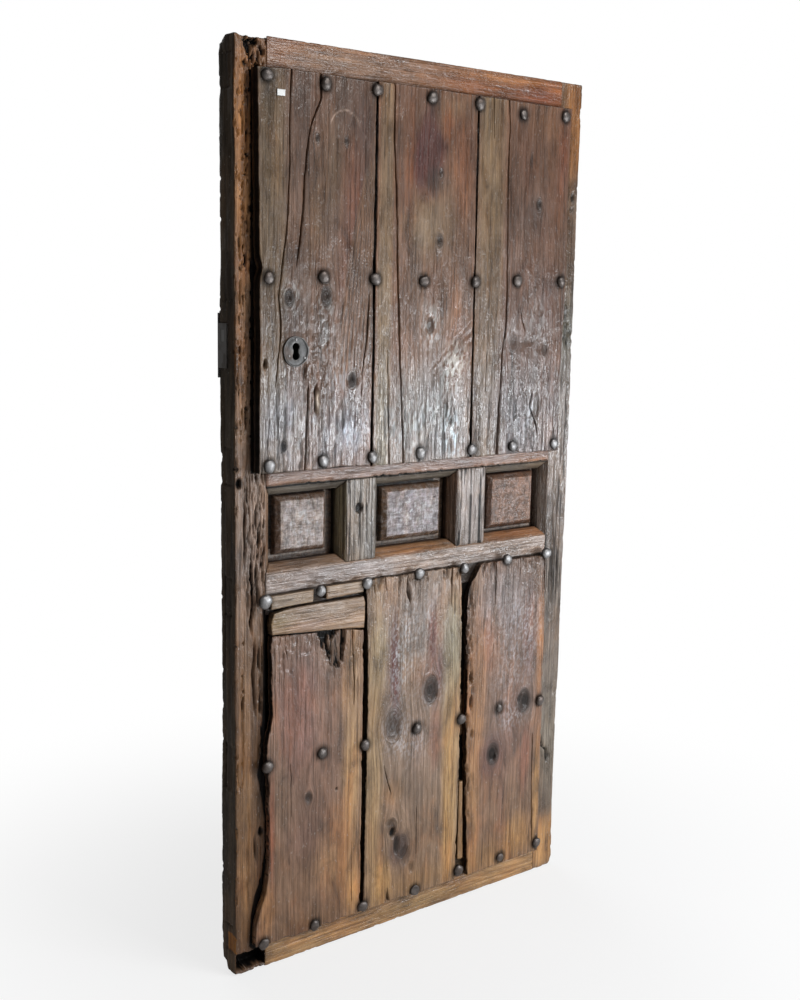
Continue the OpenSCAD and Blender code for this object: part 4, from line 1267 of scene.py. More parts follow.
# lighter and cooler towards the top: the lamps' sheen painted into the colour
tint_lb2 = dim(tint_lb2, [60, 300, 560, 700, 790], [(0.92, 0.90, 0.88), (0.86, 0.87, 0.90), (0.86, 0.88, 0.92), (0.93, 0.95, 0.98), (0.96, 0.98, 1.02)])
board("lower_board_middle_worn", "lower_board_middle", MAT_LO,
      curve([(-149, 58), (-147, 221), (-146, 381), (-145, 539), (-147, 702), (-153, 838)], 1.6, 45),
      curve([(127, 58), (128, 213), (131, 318), (130, 495), (128, 630), (122, 838)], 2.2, 46, 18),
      zcurve([(-155, 60), (-84, 62), (-78, 64), (0, 60), (130, 61)], 1.6, 47),
      zcurve([(-156, 837), (-110, 838), (-60, 836), (0, 838), (60, 837), (125, 834)], 2.2, 48, 9),
      -LT, 0, [X2a, X2b, X2c], tint_lb2,
      knots=[(38, 555, 24, .9), (-71, 490, 27, .45), (-38, 190, 20, .5), (-68, 245, 14, .6)],
      nails=LOWER_NAILS, holes=holes_lb2, seed=505, wax=lo_wax, side_dirt_and_shade=0.85, ragged=0.7, res=(2.3, 3.3), weather=lambda x, z: 0.7 * ss(560, 740, z))


# lower right board
def tint_lb3(x, y, z):
    return blend_tints(lin(136, 108, 88), [
        (172, 420, 26, 420, lin(158, 118, 78), 0.75, 2),
        # the grey tone at the top paints the lamps' sheen into the colour
        (270, 720, 110, 110, lin(132, 112, 102), 0.7),
        (388, 240, 12, 150, lin(176, 134, 86), 0.95, 2),
        (385, 650, 14, 120, lin(160, 116, 78), 0.7),
        (290, 380, 60, 110, lin(128, 96, 84), 0.6),
        (300, 200, 70, 110, lin(138, 106, 80), 0.6),
        (336, 470, 34, 30, lin(72, 66, 62), 0.85),
        (238, 355, 22, 26, lin(66, 62, 58), 0.85),
        (240, 560, 30, 80, lin(142, 110, 88), 0.5),
        (200, 640, 24, 80, lin(134, 84, 60), 0.55),
        (270, 90, 140, 40, lin(150, 112, 66), 0.5),
        (345, 600, 24, 90, lin(134, 98, 76), 0.5),
        (180, 500, 32, 200, lin(164, 120, 82), 0.7, 2),
        (350, 650, 26, 120, lin(118, 90, 82), 0.6, 2),
        (386, 580, 12, 110, lin(166, 116, 72), 0.7, 2),
        # pale grey at the top: painted sheen
        (260, 740, 70, 60, lin(158, 142, 134), 0.6, 2),
        (232, 350, 44, 60, lin(112, 80, 72), 0.7, 2),
        (347, 320, 18, 90, lin(140, 88, 68), 0.6, 2),
        (328, 130, 44, 50, lin(178, 134, 86), 0.65, 2),
        (270, 240, 14, 120, lin(124, 92, 78), 0.6),
        (300, 480, 30, 80, lin(136, 104, 90), 0.5),
    ], x, z)


X3a = crk([(232, 845), (230, 700), (226, 540), (222, 300), (226, 55)], [(720, 845, 0.7, 5, 4, 60), (560, 640, 0.35, 2, 30, 30)], 1.6, 103)
X3b = crk([(312, 845), (306, 700), (300, 520), (304, 300), (300, 55)], [(770, 845, 0.6, 5, 4, 40), (90, 200, 0.35, 2, 40, 40)], 1.6, 107)
X3c = crk([(389, 845), (391, 820), (393, 744), (386, 600), (376, 480), (370, 390), (374, 230), (382, 90), (384, 55)],
          [(740, 845, 0.9, 8, 4, 40), (80, 388, 0.9, 7, 40, 30)], 1.0, 109)


def holes_lb3(x, z):
    d = np.zeros(len(x))
    m = np.zeros(len(x))
    for cx, cz, rx, rz, dep, dk in ((340, 472, 15, 20, 2.5, 0.7), (322, 480, 12, 12, 2.0, 0.5), (238, 355, 14, 19, 2.5, 0.75),
                                    (246, 348, 6, 8, -2.5, 0.0), (160, 560, 6, 14, 6, 0.8), (163, 500, 5, 16, 5, 0.7), (168, 420, 5, 12, 5, 0.7)):
        jj = 1 + 0.5 * (fbm(x / rx, z / rz, int(abs(cx * 3 + cz)), 3) - 0.5)
        q = np.hypot((x - cx) / rx, (z - cz) / rz) * jj
        e = dep * (1 - ss(0.6, 1.2, q))
        d = np.where(abs(e) > abs(d), e, d)
        m = np.maximum(m, dk * (1 - ss(0.5, 1.15, q)))
    # rough, gnawed seam edge
    ge = (1 - ss(0, 30, x - (146 + 3 * np.sin(z / 37.0)))) * ss(0.42, 0.62, fbm(x / 7.0, z / 22.0, 112, 4))
    d += 6 * ge
    m = np.maximum(m, 0.75 * ge)
    hd = ss(792, 838, z) * ss(0.54, 0.66, fbm(x / 9.0, z / 40.0, 113, 3))
    d += 6 * hd
    m = np.maximum(m, 0.6 * hd)
    return d, m


lb3_left = curve([(167, 58), (163, 110), (154, 310), (151, 420), (150, 490), (149, 560), (147, 627), (144, 700), (142, 780),
                  (152, 800), (160, 812), (168, 824), (190, 838)], 2.8, 55, 16)
tint_lb3_ = tint_lb3


def tint_lb3(x, y, z):
    # painted highlights where the wax glints
    return painted_glints(tint_lb3_(x, y, z), x, z, [(280, 700, 80, 70, 0.34), (290, 560, 50, 80, 0.34), (300, 440, 44, 36, 0.42), (350, 640, 30, 100, 0.35)],
                 fine=3.2, long_=5.0, seed=880)


# greyer towards the top: part of the painted sheen
tint_lb3 = dim(tint_lb3, [60, 300, 560, 790], [(0.86, 0.83, 0.76), (0.80, 0.78, 0.78), (0.76, 0.75, 0.80), (0.80, 0.79, 0.82)])
board("lower_board_right_worn", "lower_board_right", MAT_LO,
      lb3_left, curve([(404, 58), (402, 250), (401, 461), (397, 700), (394, 838)], 1.2, 56),
      zcurve([(160, 60), (280, 62), (405, 62)], 1.6, 57),
      zcurve([(142, 806), (160, 816), (176, 828), (196, 835), (260, 834), (400, 832)], 2.0, 58, 8),
      -LT, 0, [X3a, X3b, X3c], tint_lb3,
      knots=[(336, 473, 22, .9), (238, 355, 21, .9)],
      nails=LOWER_NAILS, holes=holes_lb3, seed=606, wax=lo_wax, side_dirt_and_shade=0.8, ragged=1.0, res=(2.3, 3.3), weather=lambda x, z: 0.7 * ss(560, 740, z))


# ---------------------------------------------------------------- frame

def simple_marks(seed, base_dirt=0.0, sides=None, wax=0.45, edge=0.35, r=9.0, extra=None):
    def f(x, y, z, side, tot):
        n = len(x)
        dirt_and_shade = np.full(n, base_dirt)
        if sides:
            for s, v in sides.items():
                dirt_and_shade = np.where(side == s, np.maximum(dirt_and_shade, v), dirt_and_shade)
        deep = np.maximum.reduce([tot[k] for k in tot])
        dirt_and_shade = np.maximum(dirt_and_shade, ss(3.0, 9.0, deep) * 0.9)
        worn = edge * ss(0.5, 2.5, deep) * (1 - ss(3.0, 6.0, deep))
        w = wax * (0.5 + 0.9 * fbm(x / 30.0, z / 30.0, seed, 3))
        out = mk4(n, dirt_and_shade, 0, w, worn)
        if extra is not None:
            out = extra(x, y, z, side, tot, out)
        return out
    return f


YS_FULL = np.array([0, 1.2, 3, 6, 10, 15, 20, 26, 33, 40, 47, 54, 60, 62.6, T])

# closing stile -------------------------------------------------------------

def warp_cs(x, y, z):
    yf = np.clip((x - XLF) / (XLI - XLF), 0, 1) * 20.0
    return x, yf + y * (1 - yf / T), z


TENONS = [(1850, 1915), (1441, 1535), (1068, 1144), (796, 874), (419, 513), (52, 108)]


def cs_left(y, z):
    """Closing edge: wavy, rotted, with the tenons' ends standing in it."""
    d = 1.2 + 4.0 * fbm(z / 130.0, y / 60.0, 121, 3) + 2.2 * fbm(z / 22.0, y / 9.0, 122, 4)
    d -= 3.0
    # the back arris is rounded away by different amounts
    prof = np.interp(z, [0, 12, 60, 90, 140, 209, 280, 404, 495, 560, 619, 694, 800, 1034, 1137, 1300, 1380, 1406, 1440,
                         1480, 1656, 1900, 1925, 1938, 1950],
                     [22, 14, 4, 0, 0, 1, 6, 2, 6, 8, 13, 10, 7, 6, 5, 2, 1, 0, 3, 6, 3, 3, 4, 8, 20])
    prof = np.where((z > 20) & (z < 1935), prof * 0.35, prof)
    d += prof * np.clip((y - 34) / (T - 34), 0, 1) ** 1.3
    # long splits in the black edge
    for yy, z0, z1, dep in ((30, 60, 420, 5), (44, 300, 900, 6), (24, 560, 1040, 4), (48, 980, 1300, 4), (14, 1180, 1500, 3),
                            (36, 1540, 1900, 5), (20, 1650, 1840, 3.5)):
        yc = yy + 4 * (fbm(z / 70.0, 1.1, int(z0), 3) - 0.5) * 2
        d += dep * np.exp(-((y - yc) / 2.6) ** 2) * ss(z0, z0 + 60, z) * (1 - ss(z1 - 60, z1, z))
    for a, b in TENONS:
        ins = (y > 17) & (y < 46) & (z > a) & (z < b)
        gap = np.minimum(np.minimum(abs(y - 18), abs(y - 45)), np.minimum(abs(z - a), abs(z - b)))
        rim = np.exp(-(gap / 2.2) ** 2) * ((y > 14) & (y < 49) & (z > a - 4) & (z < b + 4))
        d += 3.2 * rim + 1.2 * ins
    # recess for the lock's case end
    a, b = 1305, 1395
    rim = np.exp(-(np.minimum(np.minimum(abs(z - a), abs(z - b)), abs(y - 33)) / 2.0) ** 2) * ((y > 31) & (z > a - 3) & (z < b + 3))
    d += 1.5 * rim
    return np.maximum(d, 0.1)


def cs_front(x, z):
    d = 0.6 + 1.6 * fbm(x / 10.0, z / 110.0, 131, 4) + 1.2 * fbm(x / 40.0, z / 90.0, 132, 3)
    # craggy, eaten wood beside the panels
    rot = ss(760, 830, z) * (1 - ss(1085, 1130, z)) * ss(-470, -440, x)
    d += rot * (2.8 * fbm(x / 4.5, z / 40.0, 133, 3) + 2.0 * fbm(x / 11.0, z / 24.0, 136, 4) - 1.0)
    n1 = fbm(x / 5.0, z / 34.0, 137, 4)
    d += rot * ss(-455, -425, x) * 4.5 * ss(0.60, 0.70, n1)
    # small marks up the stile
    n2 = fbm(x / 3.6, z / 20.0, 134, 4)
    d += 5.0 * ss(0.62, 0.70, n2) * ss(1120, 1180, z)
    d += 4.0 * ss(0.66, 0.72, fbm(x / 6.0, z / 9.0, 138, 3)) * ss(-470, -462, x) * ss(1120, 1180, z)
    lo = (1 - ss(700, 780, z)) * ss(-430, -412, x)
    d += lo * 5 * ss(0.60, 0.70, fbm(x / 5.0, z / 34.0, 135, 4))
    # long cracks
    for xc, z0, z1, dep in ((-435, 740, 925, 11), (-452, 880, 1090, 6), (-428, 1180, 1420, 5), (-452, 1420, 1640, 3.5),
                            (-447, 1650, 1900, 5), (-430, 560, 760, 8), (-458, 420, 700, 3.5), (-444, 120, 400, 4), (-425, 230, 330, 7)):
        xx = xc + 5 * 2 * (fbm(z / 45.0, 2.0, int(z0) + 3, 3) - 0.5)
        d += dep * np.exp(-((x - xx) / 2.4) ** 2) * ss(z0, z0 + 50, z) * (1 - ss(z1 - 50, z1, z))
    # holes
    for cx, cz, rx, rz, dep in ((-465, 1074, 7, 11, 13), (-413, 316, 5, 10, 12), (-418, 960, 4, 22, 11), (-447, 1392, 2.5, 14, 7),
                                (-445, 1265, 2.6, 22, 6), (-448, 1210, 2.6, 24, 7), (-418, 700, 3, 26, 9), (-414, 600, 3, 30, 9),
                                (-440, 1500, 3, 9, 5), (-424, 1000, 3, 30, 9), (-445, 1046, 3, 20, 8), (-424, 880, 3, 34, 9)):
        q = np.hypot((x - cx) / rx, (z - cz) / rz) * (1 + 0.5 * (fbm(x / 5.0, z / 9.0, int(cz), 3) - 0.5))
        d = np.maximum(d, dep * (1 - ss(0.6, 1.25, q)))
    # rotten joint at the head
    hd = ss(1872, 1900, z) * ss(-462, -448, x)
    d += hd * 9 * ss(0.47, 0.60, fbm(x / 6.0, z / 15.0, 146, 4))
    d += ss(1900, 1935, z) * 3 * fbm(x / 5.0, z / 12.0, 147, 3)
    # short black checks
    for xc, z0, z1, sd in ((-455, 1500, 1800, 3), (-444, 1560, 1870, 4), (-461, 1300, 1560, 5), (-449, 1130, 1330, 6),
                           (-436, 1340, 1600, 7), (-456, 560, 760, 10)):
        xx = xc + 4 * 2 * (fbm(z / 30.0, 3.0, 700 + sd, 3) - 0.5)
        on = ss(0.52, 0.60, fbm(z / 17.0, 1.0, 710 + sd, 4)) * ss(z0, z0 + 20, z) * (1 - ss(z1 - 20, z1, z))
        d += 7.0 * np.exp(-((x - xx) / 1.5) ** 2) * on
    # fine crevices in the rotten length
    d += rot * 3.6 * ss(0.56, 0.64, fbm(x / 2.4, z / 20.0, 148, 3))
    # U-shaped slot
    q = np.hypot((x + 463) / 8.0, (z - 459) / 34.0)
    d += 3.2 * np.exp(-((q - 1) / 0.16) ** 2) * (z < 480)
    # hollow foot
    d = d * (1 - ss(XLF - 3, XLF + 5, x))
    foot = ss(-474, -470, x) * ss(9, 14, z + 5 * (fbm(x / 9.0, 1, 141, 3) - 0.5)) * (1 - ss(44, 50, z + 6 * (fbm(x / 7.0, 2, 142, 3) - 0.5)))
    d += 32 * foot
    return d


def cs_top(x, y):
    return 3.0 + 9.0 * fbm(x / 9.0, y / 8.0, 151, 4) * ss(-478, -455, x) - 1.0


def cs_bottom(x, y):
    return 1.0 + 5.0 * fbm(x / 9.0, y / 9.0, 152, 4) + 5 * ss(30, 60, y) * fbm(x / 12.0, 1, 153, 3)


def tint_cs(x, y, z, side):
    c = blend_tints(lin(108, 84, 66), [
        (-452, 1700, 26, 260, lin(136, 98, 66), 0.75, 2),
        (-455, 1250, 16, 160, lin(122, 92, 68), 0.6),
        (-425, 1350, 22, 300, lin(96, 82, 72), 0.7),
        (-440, 950, 50, 170, lin(100, 84, 74), 0.8),
        (-456, 640, 18, 130, lin(118, 90, 68), 0.6),
        (-452, 330, 26, 240, lin(138, 104, 72), 0.85, 2),
        (-420, 330, 14, 300, lin(96, 74, 56), 0.6),
        (-440, 1932, 60, 24, lin(92, 76, 64), 0.85),
        (-455, 480, 16, 60, lin(130, 92, 62), 0.5),
        (-440, 40, 60, 40, lin(104, 78, 58), 0.7),
        (-456, 330, 16, 230, lin(150, 116, 86), 0.45, 2),
        (-450, 620, 16, 120, lin(136, 106, 80), 0.45, 2),
    ], x, z)
    st = 0.80 + 0.40 * fbm(x / 2.2, z / 160.0, 149, 2)
    c = c * np.where(z < 760, st, 1.0)[:, None]
    # the closing edge's face: dark wood, with its shade painted in
    n = fbm(y / 9.0, z / 160.0, 161, 3)
    left = np.stack([np.interp(n, [0.3, 0.7], [DARKSIDE[i] * 0.55, DARKSIDE[i] * 1.25]) for i in range(3)], -1)
    warm = lin(104, 84, 66)
    wz = (1 - ss(80, 220, z))[:, None] * 0.5
    left = left * (1 - wz) + warm[None] * wz
    ten = np.zeros(len(x))
    for a, b in TENONS:
        ten = np.maximum(ten, ((y > 18) & (y < 45) & (z > a) & (z < b)) * 1.0)
    left = left * (1 - 0.35 * ten[:, None]) + lin(66, 56, 48)[None] * 0.35 * ten[:, None]
    front_bleed = (1 - ss(0, 7, y))[:, None]
    left = left * (1 - front_bleed) + c * 0.8 * front_bleed
    is_left = (side == "l")[:, None]
    back = (side == "b")[:, None]
    c = np.where(is_left, left, c)
    c = np.where(back, lin(92, 76, 62)[None], c)
    # orange block at the foot
    ob_ = (is_left[:, 0] & (y < 34) & (z > 52) & (z < 92))
    c = np.where(ob_[:, None], lin(136, 92, 52)[None], c)
    return c


tint_cs0 = tint_cs
# lighter and cooler from 760 to 1130, at the panels' height: the lamps' sheen painted into the colour
tint_cf = dim(tint_cs0, [0, 300, 640, 760, 820, 1050, 1130, 1400, 1900],
              [(0.78, 0.74, 0.68), (0.76, 0.72, 0.66), (0.78, 0.75, 0.70), (1.05, 1.08, 1.10), (1.45, 1.58, 1.75), (1.45, 1.58, 1.75),
               (1.06, 1.10, 1.16), (1.14, 1.14, 1.10), (1.50, 1.40, 1.20)])


def tint_cs(x, y, z, side):
    return np.where((side == "f")[:, None], tint_cf(x, y, z, side), tint_cs0(x, y, z, side))


def marks_cs(x, y, z, side, tot):
    n = len(x)
    deep = tot["f"] * (side == "f") + tot["l"] * (side == "l")
    # dirt and painted shade deep in the recesses, inside the hollow foot and on the inner face
    dirt_and_shade = ss(5.0, 10.0, deep) * 0.95 * (side == "f")
    dirt_and_shade = np.maximum(dirt_and_shade, ss(4.5, 10, tot["l"]) * 0.8 * (side == "l"))
    dirt_and_shade = np.maximum(dirt_and_shade, (side == "f") * (x > -472) * (z > 10) * (z < 50) * ss(12, 20, tot["f"]))
    # painted shadow: the boards' cast shadow and dark side, on the stile beside their edge, with a little dirt
    board_shadow_band = np.interp(z, [0, 60, 130, 174, 208, 272, 340, 400, 446, 499, 609, 825, 840, 1088, 1092, 1884, 1890, 1950],
                     [-380, -441, -437, -428, -412, -402, -402, -412, -421, -411, -407, -406, -380, -380, -437, -438, -380, -380])
    dirt_and_shade = np.maximum(dirt_and_shade, 0.95 * (side == "f") * ss(-3, 1.5, x - board_shadow_band))
    dirt_and_shade = np.where(side == "r", np.maximum(dirt_and_shade, 0.3), dirt_and_shade)
    kd = 0
    for cx, cz, r in ((-465, 1074, 10), (-413, 316, 8)):
        kd = np.maximum(kd, 1 - ss(r * .7, r * 1.4, np.hypot(x - cx, z - cz)))
    worn = 0.5 * ss(1.0, 3.0, deep) * (1 - ss(3.5, 6.0, deep)) * (side == "f")
    worn = np.maximum(worn, 0.35 * (1 - ss(0.5, 4, x - XL)) * (side == "f"))
    wx = np.where(side == "l", 0.1, 0.3 + 0.3 * fbm(x / 20.0, z / 60.0, 166, 3))
    return mk4(n, dirt_and_shade, kd * (side == "f"), wx, worn)


xs = refine(spaced(XL, XLI, 1.9), [(XL, (1, 2.2, 4)), (XLF, (-2, -0.8, 0, 1, 2.5)), (XLI, (-1,))])
zs = refine(spaced(0, H, 3.6), [(0, (1.5, 3)), (H, (-1.5, -3)), (12, (-1, 1)), (48, (-1, 1))])
P, F_c, at = piece("closing_stile_worn", xs, YS_FULL, zs, warp_cs,
                   dict(l=cs_left, f=cs_front, u=cs_top, d=cs_bottom, r=lambda y, z: 0.4 + 0 * y, b=lambda x, z: 0.6 + 1.5 * fbm(x / 12.0, z / 90.0, 171, 3)),
                   along_z, tint_cs, marks_cs, coarse=(5, 6), round_=3.0, chip=2.2, seed=170, decay=16.0)
# the inner arris stays tight against the back lath
tight = (P[:, 0] > XLI - 6) & (P[:, 1] > 14) & (P[:, 1] < 30) & (P[:, 2] > 110) & (P[:, 2] < 1080)
yw = np.clip((P[:, 0] - XLF) / (XLI - XLF), 0, 1) * 20.0
P[:, 1] = np.where(tight, np.minimum(P[:, 1], yw + 0.4), P[:, 1])
P[:, 0] = np.where(tight & (P[:, 0] > XLI - 3), XLI - 0.1, P[:, 0])
ob = make_object("closing_stile_worn", P, F_c, at)
finish_piece(ob, "closing_stile", MAT_ST)
ob.data.materials.append(MAT_EDGE)
Pn = P[:, 0] - XL
ob.data.polygons.foreach_set("material_index", [int(max(Pn[i] for i in f) < 26 and abs(ob.data.polygons[k].normal.x) > 0.62)
                                                for k, f in enumerate(F_c)])


# hanging stile -------------------------------------------------------------

def warp_hs(x, y, z):
    yf = np.clip((XRF - x) / (XRF - XRI), 0, 1) * 20.0
    # bottom outer corner worn round
    r = 22.0
    lim = np.where(z < r, (XR - r) + np.sqrt(np.maximum(r * r - (r - z) ** 2, 0)), XR)
    x2 = np.where(x > XR - r, (XR - r) + (x - (XR - r)) / r * (lim - (XR - r)), x)
    return x2, yf + y * (1 - yf / T), z


def hs_right(y, z):
    d = np.interp(z, [0, 60, 176, 300, 444, 520, 601, 720, 900, 1207, 1500, 1685, 1850, 1938, 1950],
                  [2, 2, 8, 8, 8.5, 3, 3, 5, 2, 0.3, 2, 3, 1.5, 0.5, 1])
    return d + 1.5 * fbm(z / 20.0, y / 10.0, 181, 4) + 0.1


def hs_front(x, z):
    d = 0.6 + 1.5 * fbm(x / 10.0, z / 120.0, 182, 4) + 1.0 * fbm(x / 40.0, z / 90.0, 183, 3)
    for pts, w_, dep, z0, z1 in ((((414, 362), (424, 330), (438, 318), (442, 283)), 3.0, 10, 280, 364),
                                 (((440, 1460), (448, 1400), (452, 1340)), 2.0, 5, 1330, 1470),
                                 (((432, 1080), (430, 900), (434, 700)), 1.8, 4, 690, 1085),
                                 (((452, 980), (450, 800), (452, 640)), 1.6, 3, 640, 985)):
        q = sorted(pts, key=lambda p: p[1])
        xc = np.interp(z, [p[1] for p in q], [p[0] for p in q]) + 3 * (fbm(z / 20.0, 1.0, int(z0), 3) - 0.5)
        d += dep * np.exp(-((x - xc) / w_) ** 2) * ss(z0, z0 + 14, z) * (1 - ss(z1 - 14, z1, z))
    for cx, cz, rx, rz, dep in ((447, 1358, 6, 8, 6), (455, 1689, 6, 14, 7), (452, 1660, 5, 8, 6), (452, 1396, 6, 8, 4), (446, 300, 7, 10, 6), (460, 1372, 6, 9, 5), (458, 470, 8, 12, 4)):
        q = np.hypot((x - cx) / rx, (z - cz) / rz)
        d = np.maximum(d, dep * (1 - ss(0.6, 1.25, q)))
    return d


def tint_hs(x, y, z, side):
    c = blend_tints(lin(116, 98, 84), [
        (450, 1840, 60, 130, lin(164, 110, 68), 0.95, 3),
        (445, 1600, 60, 150, lin(112, 82, 60), 0.6),
        (445, 1380, 50, 80, lin(92, 88, 74), 0.7),
        (445, 1150, 60, 160, lin(118, 102, 90), 0.7),
        (445, 620, 60, 260, lin(112, 98, 86), 0.7),
        (445, 320, 60, 160, lin(110, 102, 90), 0.8),
        (440, 70, 70, 70, lin(176, 132, 86), 0.9, 2),
        (412, 900, 16, 160, lin(104, 84, 70), 0.5),
    ], x, z)
    c = np.where((side == "b")[:, None], lin(92, 76, 62)[None], c)
    c = np.where((side == "r")[:, None], c * 0.72, c)
    return c


# lighter and cooler from 700 to 1300: the lamps' sheen painted into the colour
tint_hs = dim(tint_hs, [0, 300, 700, 1000, 1300, 1500, 1900],
              [(0.85, 0.84, 0.82), (0.85, 0.85, 0.86), (0.88, 0.96, 1.06), (0.92, 1.06, 1.28), (0.84, 0.98, 1.16), (0.68, 0.74, 0.78), (0.64, 0.68, 0.70)])


def marks_hs(x, y, z, side, tot):
    deep = tot["f"] * (side == "f") + tot["r"] * (side == "r") * 0.4
    # dirt and painted shade deep in the recesses; the strips of the face beside and behind the boards' edges are
    # darkened as their shade
    dirt_and_shade = ss(3.6, 8.0, deep) * 0.95
    dirt_and_shade = np.maximum(dirt_and_shade, np.where((side == "f") & (x < 423) & (z > 1088) & (z < 1890), 0.55, 0))
    dirt_and_shade = np.maximum(dirt_and_shade, np.where((side == "f") & (x < 408) & (z > 60) & (z < 838), 0.6, 0))
    dirt_and_shade = np.maximum(dirt_and_shade, 0.55 * np.exp(-((z - 1690) / 60) ** 2) * ss(446, 462, x) * (side == "f") * ss(.4, .6, fbm(x / 12., z / 20., 188, 3)))
    gv = ss(0.56, 0.64, fbm(x / 2.9, z / 130.0, 187, 3)) * ss(560, 800, z) * (1 - ss(1400, 1620, z))
    dirt_and_shade = np.maximum(dirt_and_shade, 0.75 * gv * (side == "f"))
    worn = 0.35 * ss(1.0, 2.6, deep) * (1 - ss(3.0, 5.0, deep))
    wx = 0.35 + 0.4 * fbm(x / 20.0, z / 50.0, 186, 3) + 0.3 * np.exp(-((z - 1080) / 200) ** 2)
    return mk4(len(x), dirt_and_shade, 0, wx, worn)


xs = refine(spaced(XRI, XR, 3.2), [(XR, (-1, -2.2, -4)), (XRF, (-2.5, -1, 0, 0.8, 2)), (XRI, (1,))])
zs = refine(spaced(0, H, 4.4), [(0, (1.5, 3, 5)), (H, (-1.5, -3))])
P, F_c, at = piece("hanging_stile_worn", xs, YS_FULL, zs, warp_hs,
                   dict(r=hs_right, f=hs_front, l=lambda y, z: 0.4 + 0 * y, u=lambda x, y: 0.3 + 1.5 * fbm(x / 9.0, y / 9.0, 191, 3),
                        d=lambda x, y: 0.2 + 1.2 * fbm(x / 9.0, y / 9.0, 192, 3), b=lambda x, z: 0.6 + 1.5 * fbm(x / 12.0, z / 90.0, 193, 3)),
                   along_z, tint_hs, marks_hs, coarse=(5, 6), round_=3.0, chip=1.4, seed=190, decay=12.0)
ob = make_object("hanging_stile_worn", P, F_c, at)
finish_piece(ob, "hanging_stile", MAT_FR)


# rails ---------------------------------------------------------------------

def rail(name, node, mat, z0, z1, tint, step=(4.4, 3.6), chz0=0.0, chz1=0.0, front=None, top=None, bottom=None,
         marks=None, coarse=(6, 4), ys=None, seed=0, chip=1.2, zmarks=(), round_=2.2):
    """chz0/chz1: how far the bottom/top edge slopes out between the face and
    20 mm deep (the worked chamfers beside the panels)."""
    def warp(x, y, z):
        f = np.clip(y / 20.0, 0, 1)
        xl = XLF + (XLI - XLF) * f
        xr = XRF + (XRI - XRF) * f
        t = (x - XLF) / (XRF - XLF)
        x2 = xl + (xr - xl) * t
        lo = z0 - chz0 * f
        hi = z1 + chz1 * f
        s = (z - z0) / (z1 - z0)
        return x2, y, lo + (hi - lo) * s
    xs = refine(spaced(XLF, XRF, step[0]), [(XLF, (1.2, 3)), (XRF, (-1.2, -3))])
    zs = refine(spaced(z0, z1, step[1]), [(z0, (1, 2.5)), (z1, (-1, -2.5))] + list(zmarks))
    dep = dict(f=front or (lambda x, z: 0.5 + 1.6 * fbm(x / 120.0, z / 9.0, seed + 1, 4)),
               u=top or (lambda x, y: 0.3 + 1.2 * fbm(x / 110.0, y / 10.0, seed + 2, 4)),
               d=bottom or (lambda x, y: 0.3 + 1.2 * fbm(x / 110.0, y / 10.0, seed + 3, 4)),
               b=lambda x, z: 0.6 + 1.5 * fbm(x / 90.0, z / 12.0, seed + 4, 3), l=lambda y, z: 0.25 + 0 * y, r=lambda y, z: 0.25 + 0 * y)
    P, F_c, at = piece(name, xs, ys if ys is not None else YS_FULL, zs, warp, dep, along_x, tint,
                       marks or simple_marks(seed + 5), coarse=coarse, round_=round_, chip=chip, seed=seed, decay=9.0)
    at["gr"][:, 0] += seed * 0.013
    ob = make_object(name, P, F_c, at)
    return finish_piece(ob, node, mat)


def flat_tint(base, blobs=(), back=lin(92, 76, 62)):
    def f(x, y, z, side):
        c = blend_tints(base, blobs, x, z)
        return np.where((side == "b")[:, None], back[None], c)
    return f


def top_rail_marks(x, y, z, side, tot):
    dirt_and_shade = np.where((side == "f") & (z < 1896), 0.75 * (1 - ss(1888, 1897, z)), 0)
    dirt_and_shade = np.maximum(dirt_and_shade, (side == "f") * 0.55 * (1 - ss(0.5, 4, x - XLF)))
    dirt_and_shade = np.maximum(dirt_and_shade, (side == "f") * 0.45 * (1 - ss(0.5, 3, XRF - x)))
    dirt_and_shade = np.maximum(dirt_and_shade, ss(3.5, 8.0, tot["f"]) * 0.8)
    worn = 0.3 * ss(1.0, 2.2, tot["f"]) * (1 - ss(2.6, 4.0, tot["f"]))
    return mk4(len(x), dirt_and_shade, 0, 0.35 + 0.3 * fbm(x / 60., z / 20., 204, 3), worn)


rail("top_rail_worn", "top_rail", MAT_FR, 1838, H,
     flat_tint(lin(122, 84, 58), [(-200, 1925, 160, 30, lin(122, 94, 72), 0.6), (150, 1910, 120, 30, lin(122, 74, 42), 0.8),
                                  (330, 1900, 90, 40, lin(112, 64, 38), 0.85), (230, 1935, 160, 10, lin(150, 96, 52), 0.6), (0, 1940, 300, 14, lin(136, 100, 76), 0.5),
                                  (-330, 1900, 60, 20, lin(104, 80, 64), 0.5)]),
     marks=top_rail_marks, seed=200, step=(4.2, 3.4), coarse=(6, 4))

for nm, zlo, zhi, sd in (("upper_back_rail", 1436, 1540, 210), ("lower_back_rail", 414, 518, 220)):
    rail(nm + "_worn", nm, MAT_BK, zlo, zhi, flat_tint(lin(98, 78, 62)), step=(11, 8), seed=sd,
         ys=np.array([0, 2, 8, 20, 40, 58, 62, T]), coarse=(2, 2))


def ftr_front(x, z):
    d = 0.5 + 1.4 * fbm(x / 110.0, z / 8.0, 231, 4)
    # arris broken out above the first panel, and chipped elsewhere
    br = np.exp(-((x + 325) / 44) ** 2) * (1 - ss(1060, 1072, z))
    d += 7 * br * (0.5 + fbm(x / 14.0, z / 8.0, 232, 3))
    n = fbm(x / 22.0, 3.0, 233, 4)
    d += 5 * ss(0.58, 0.72, n) * (1 - ss(1062, 1072, z))
    return d


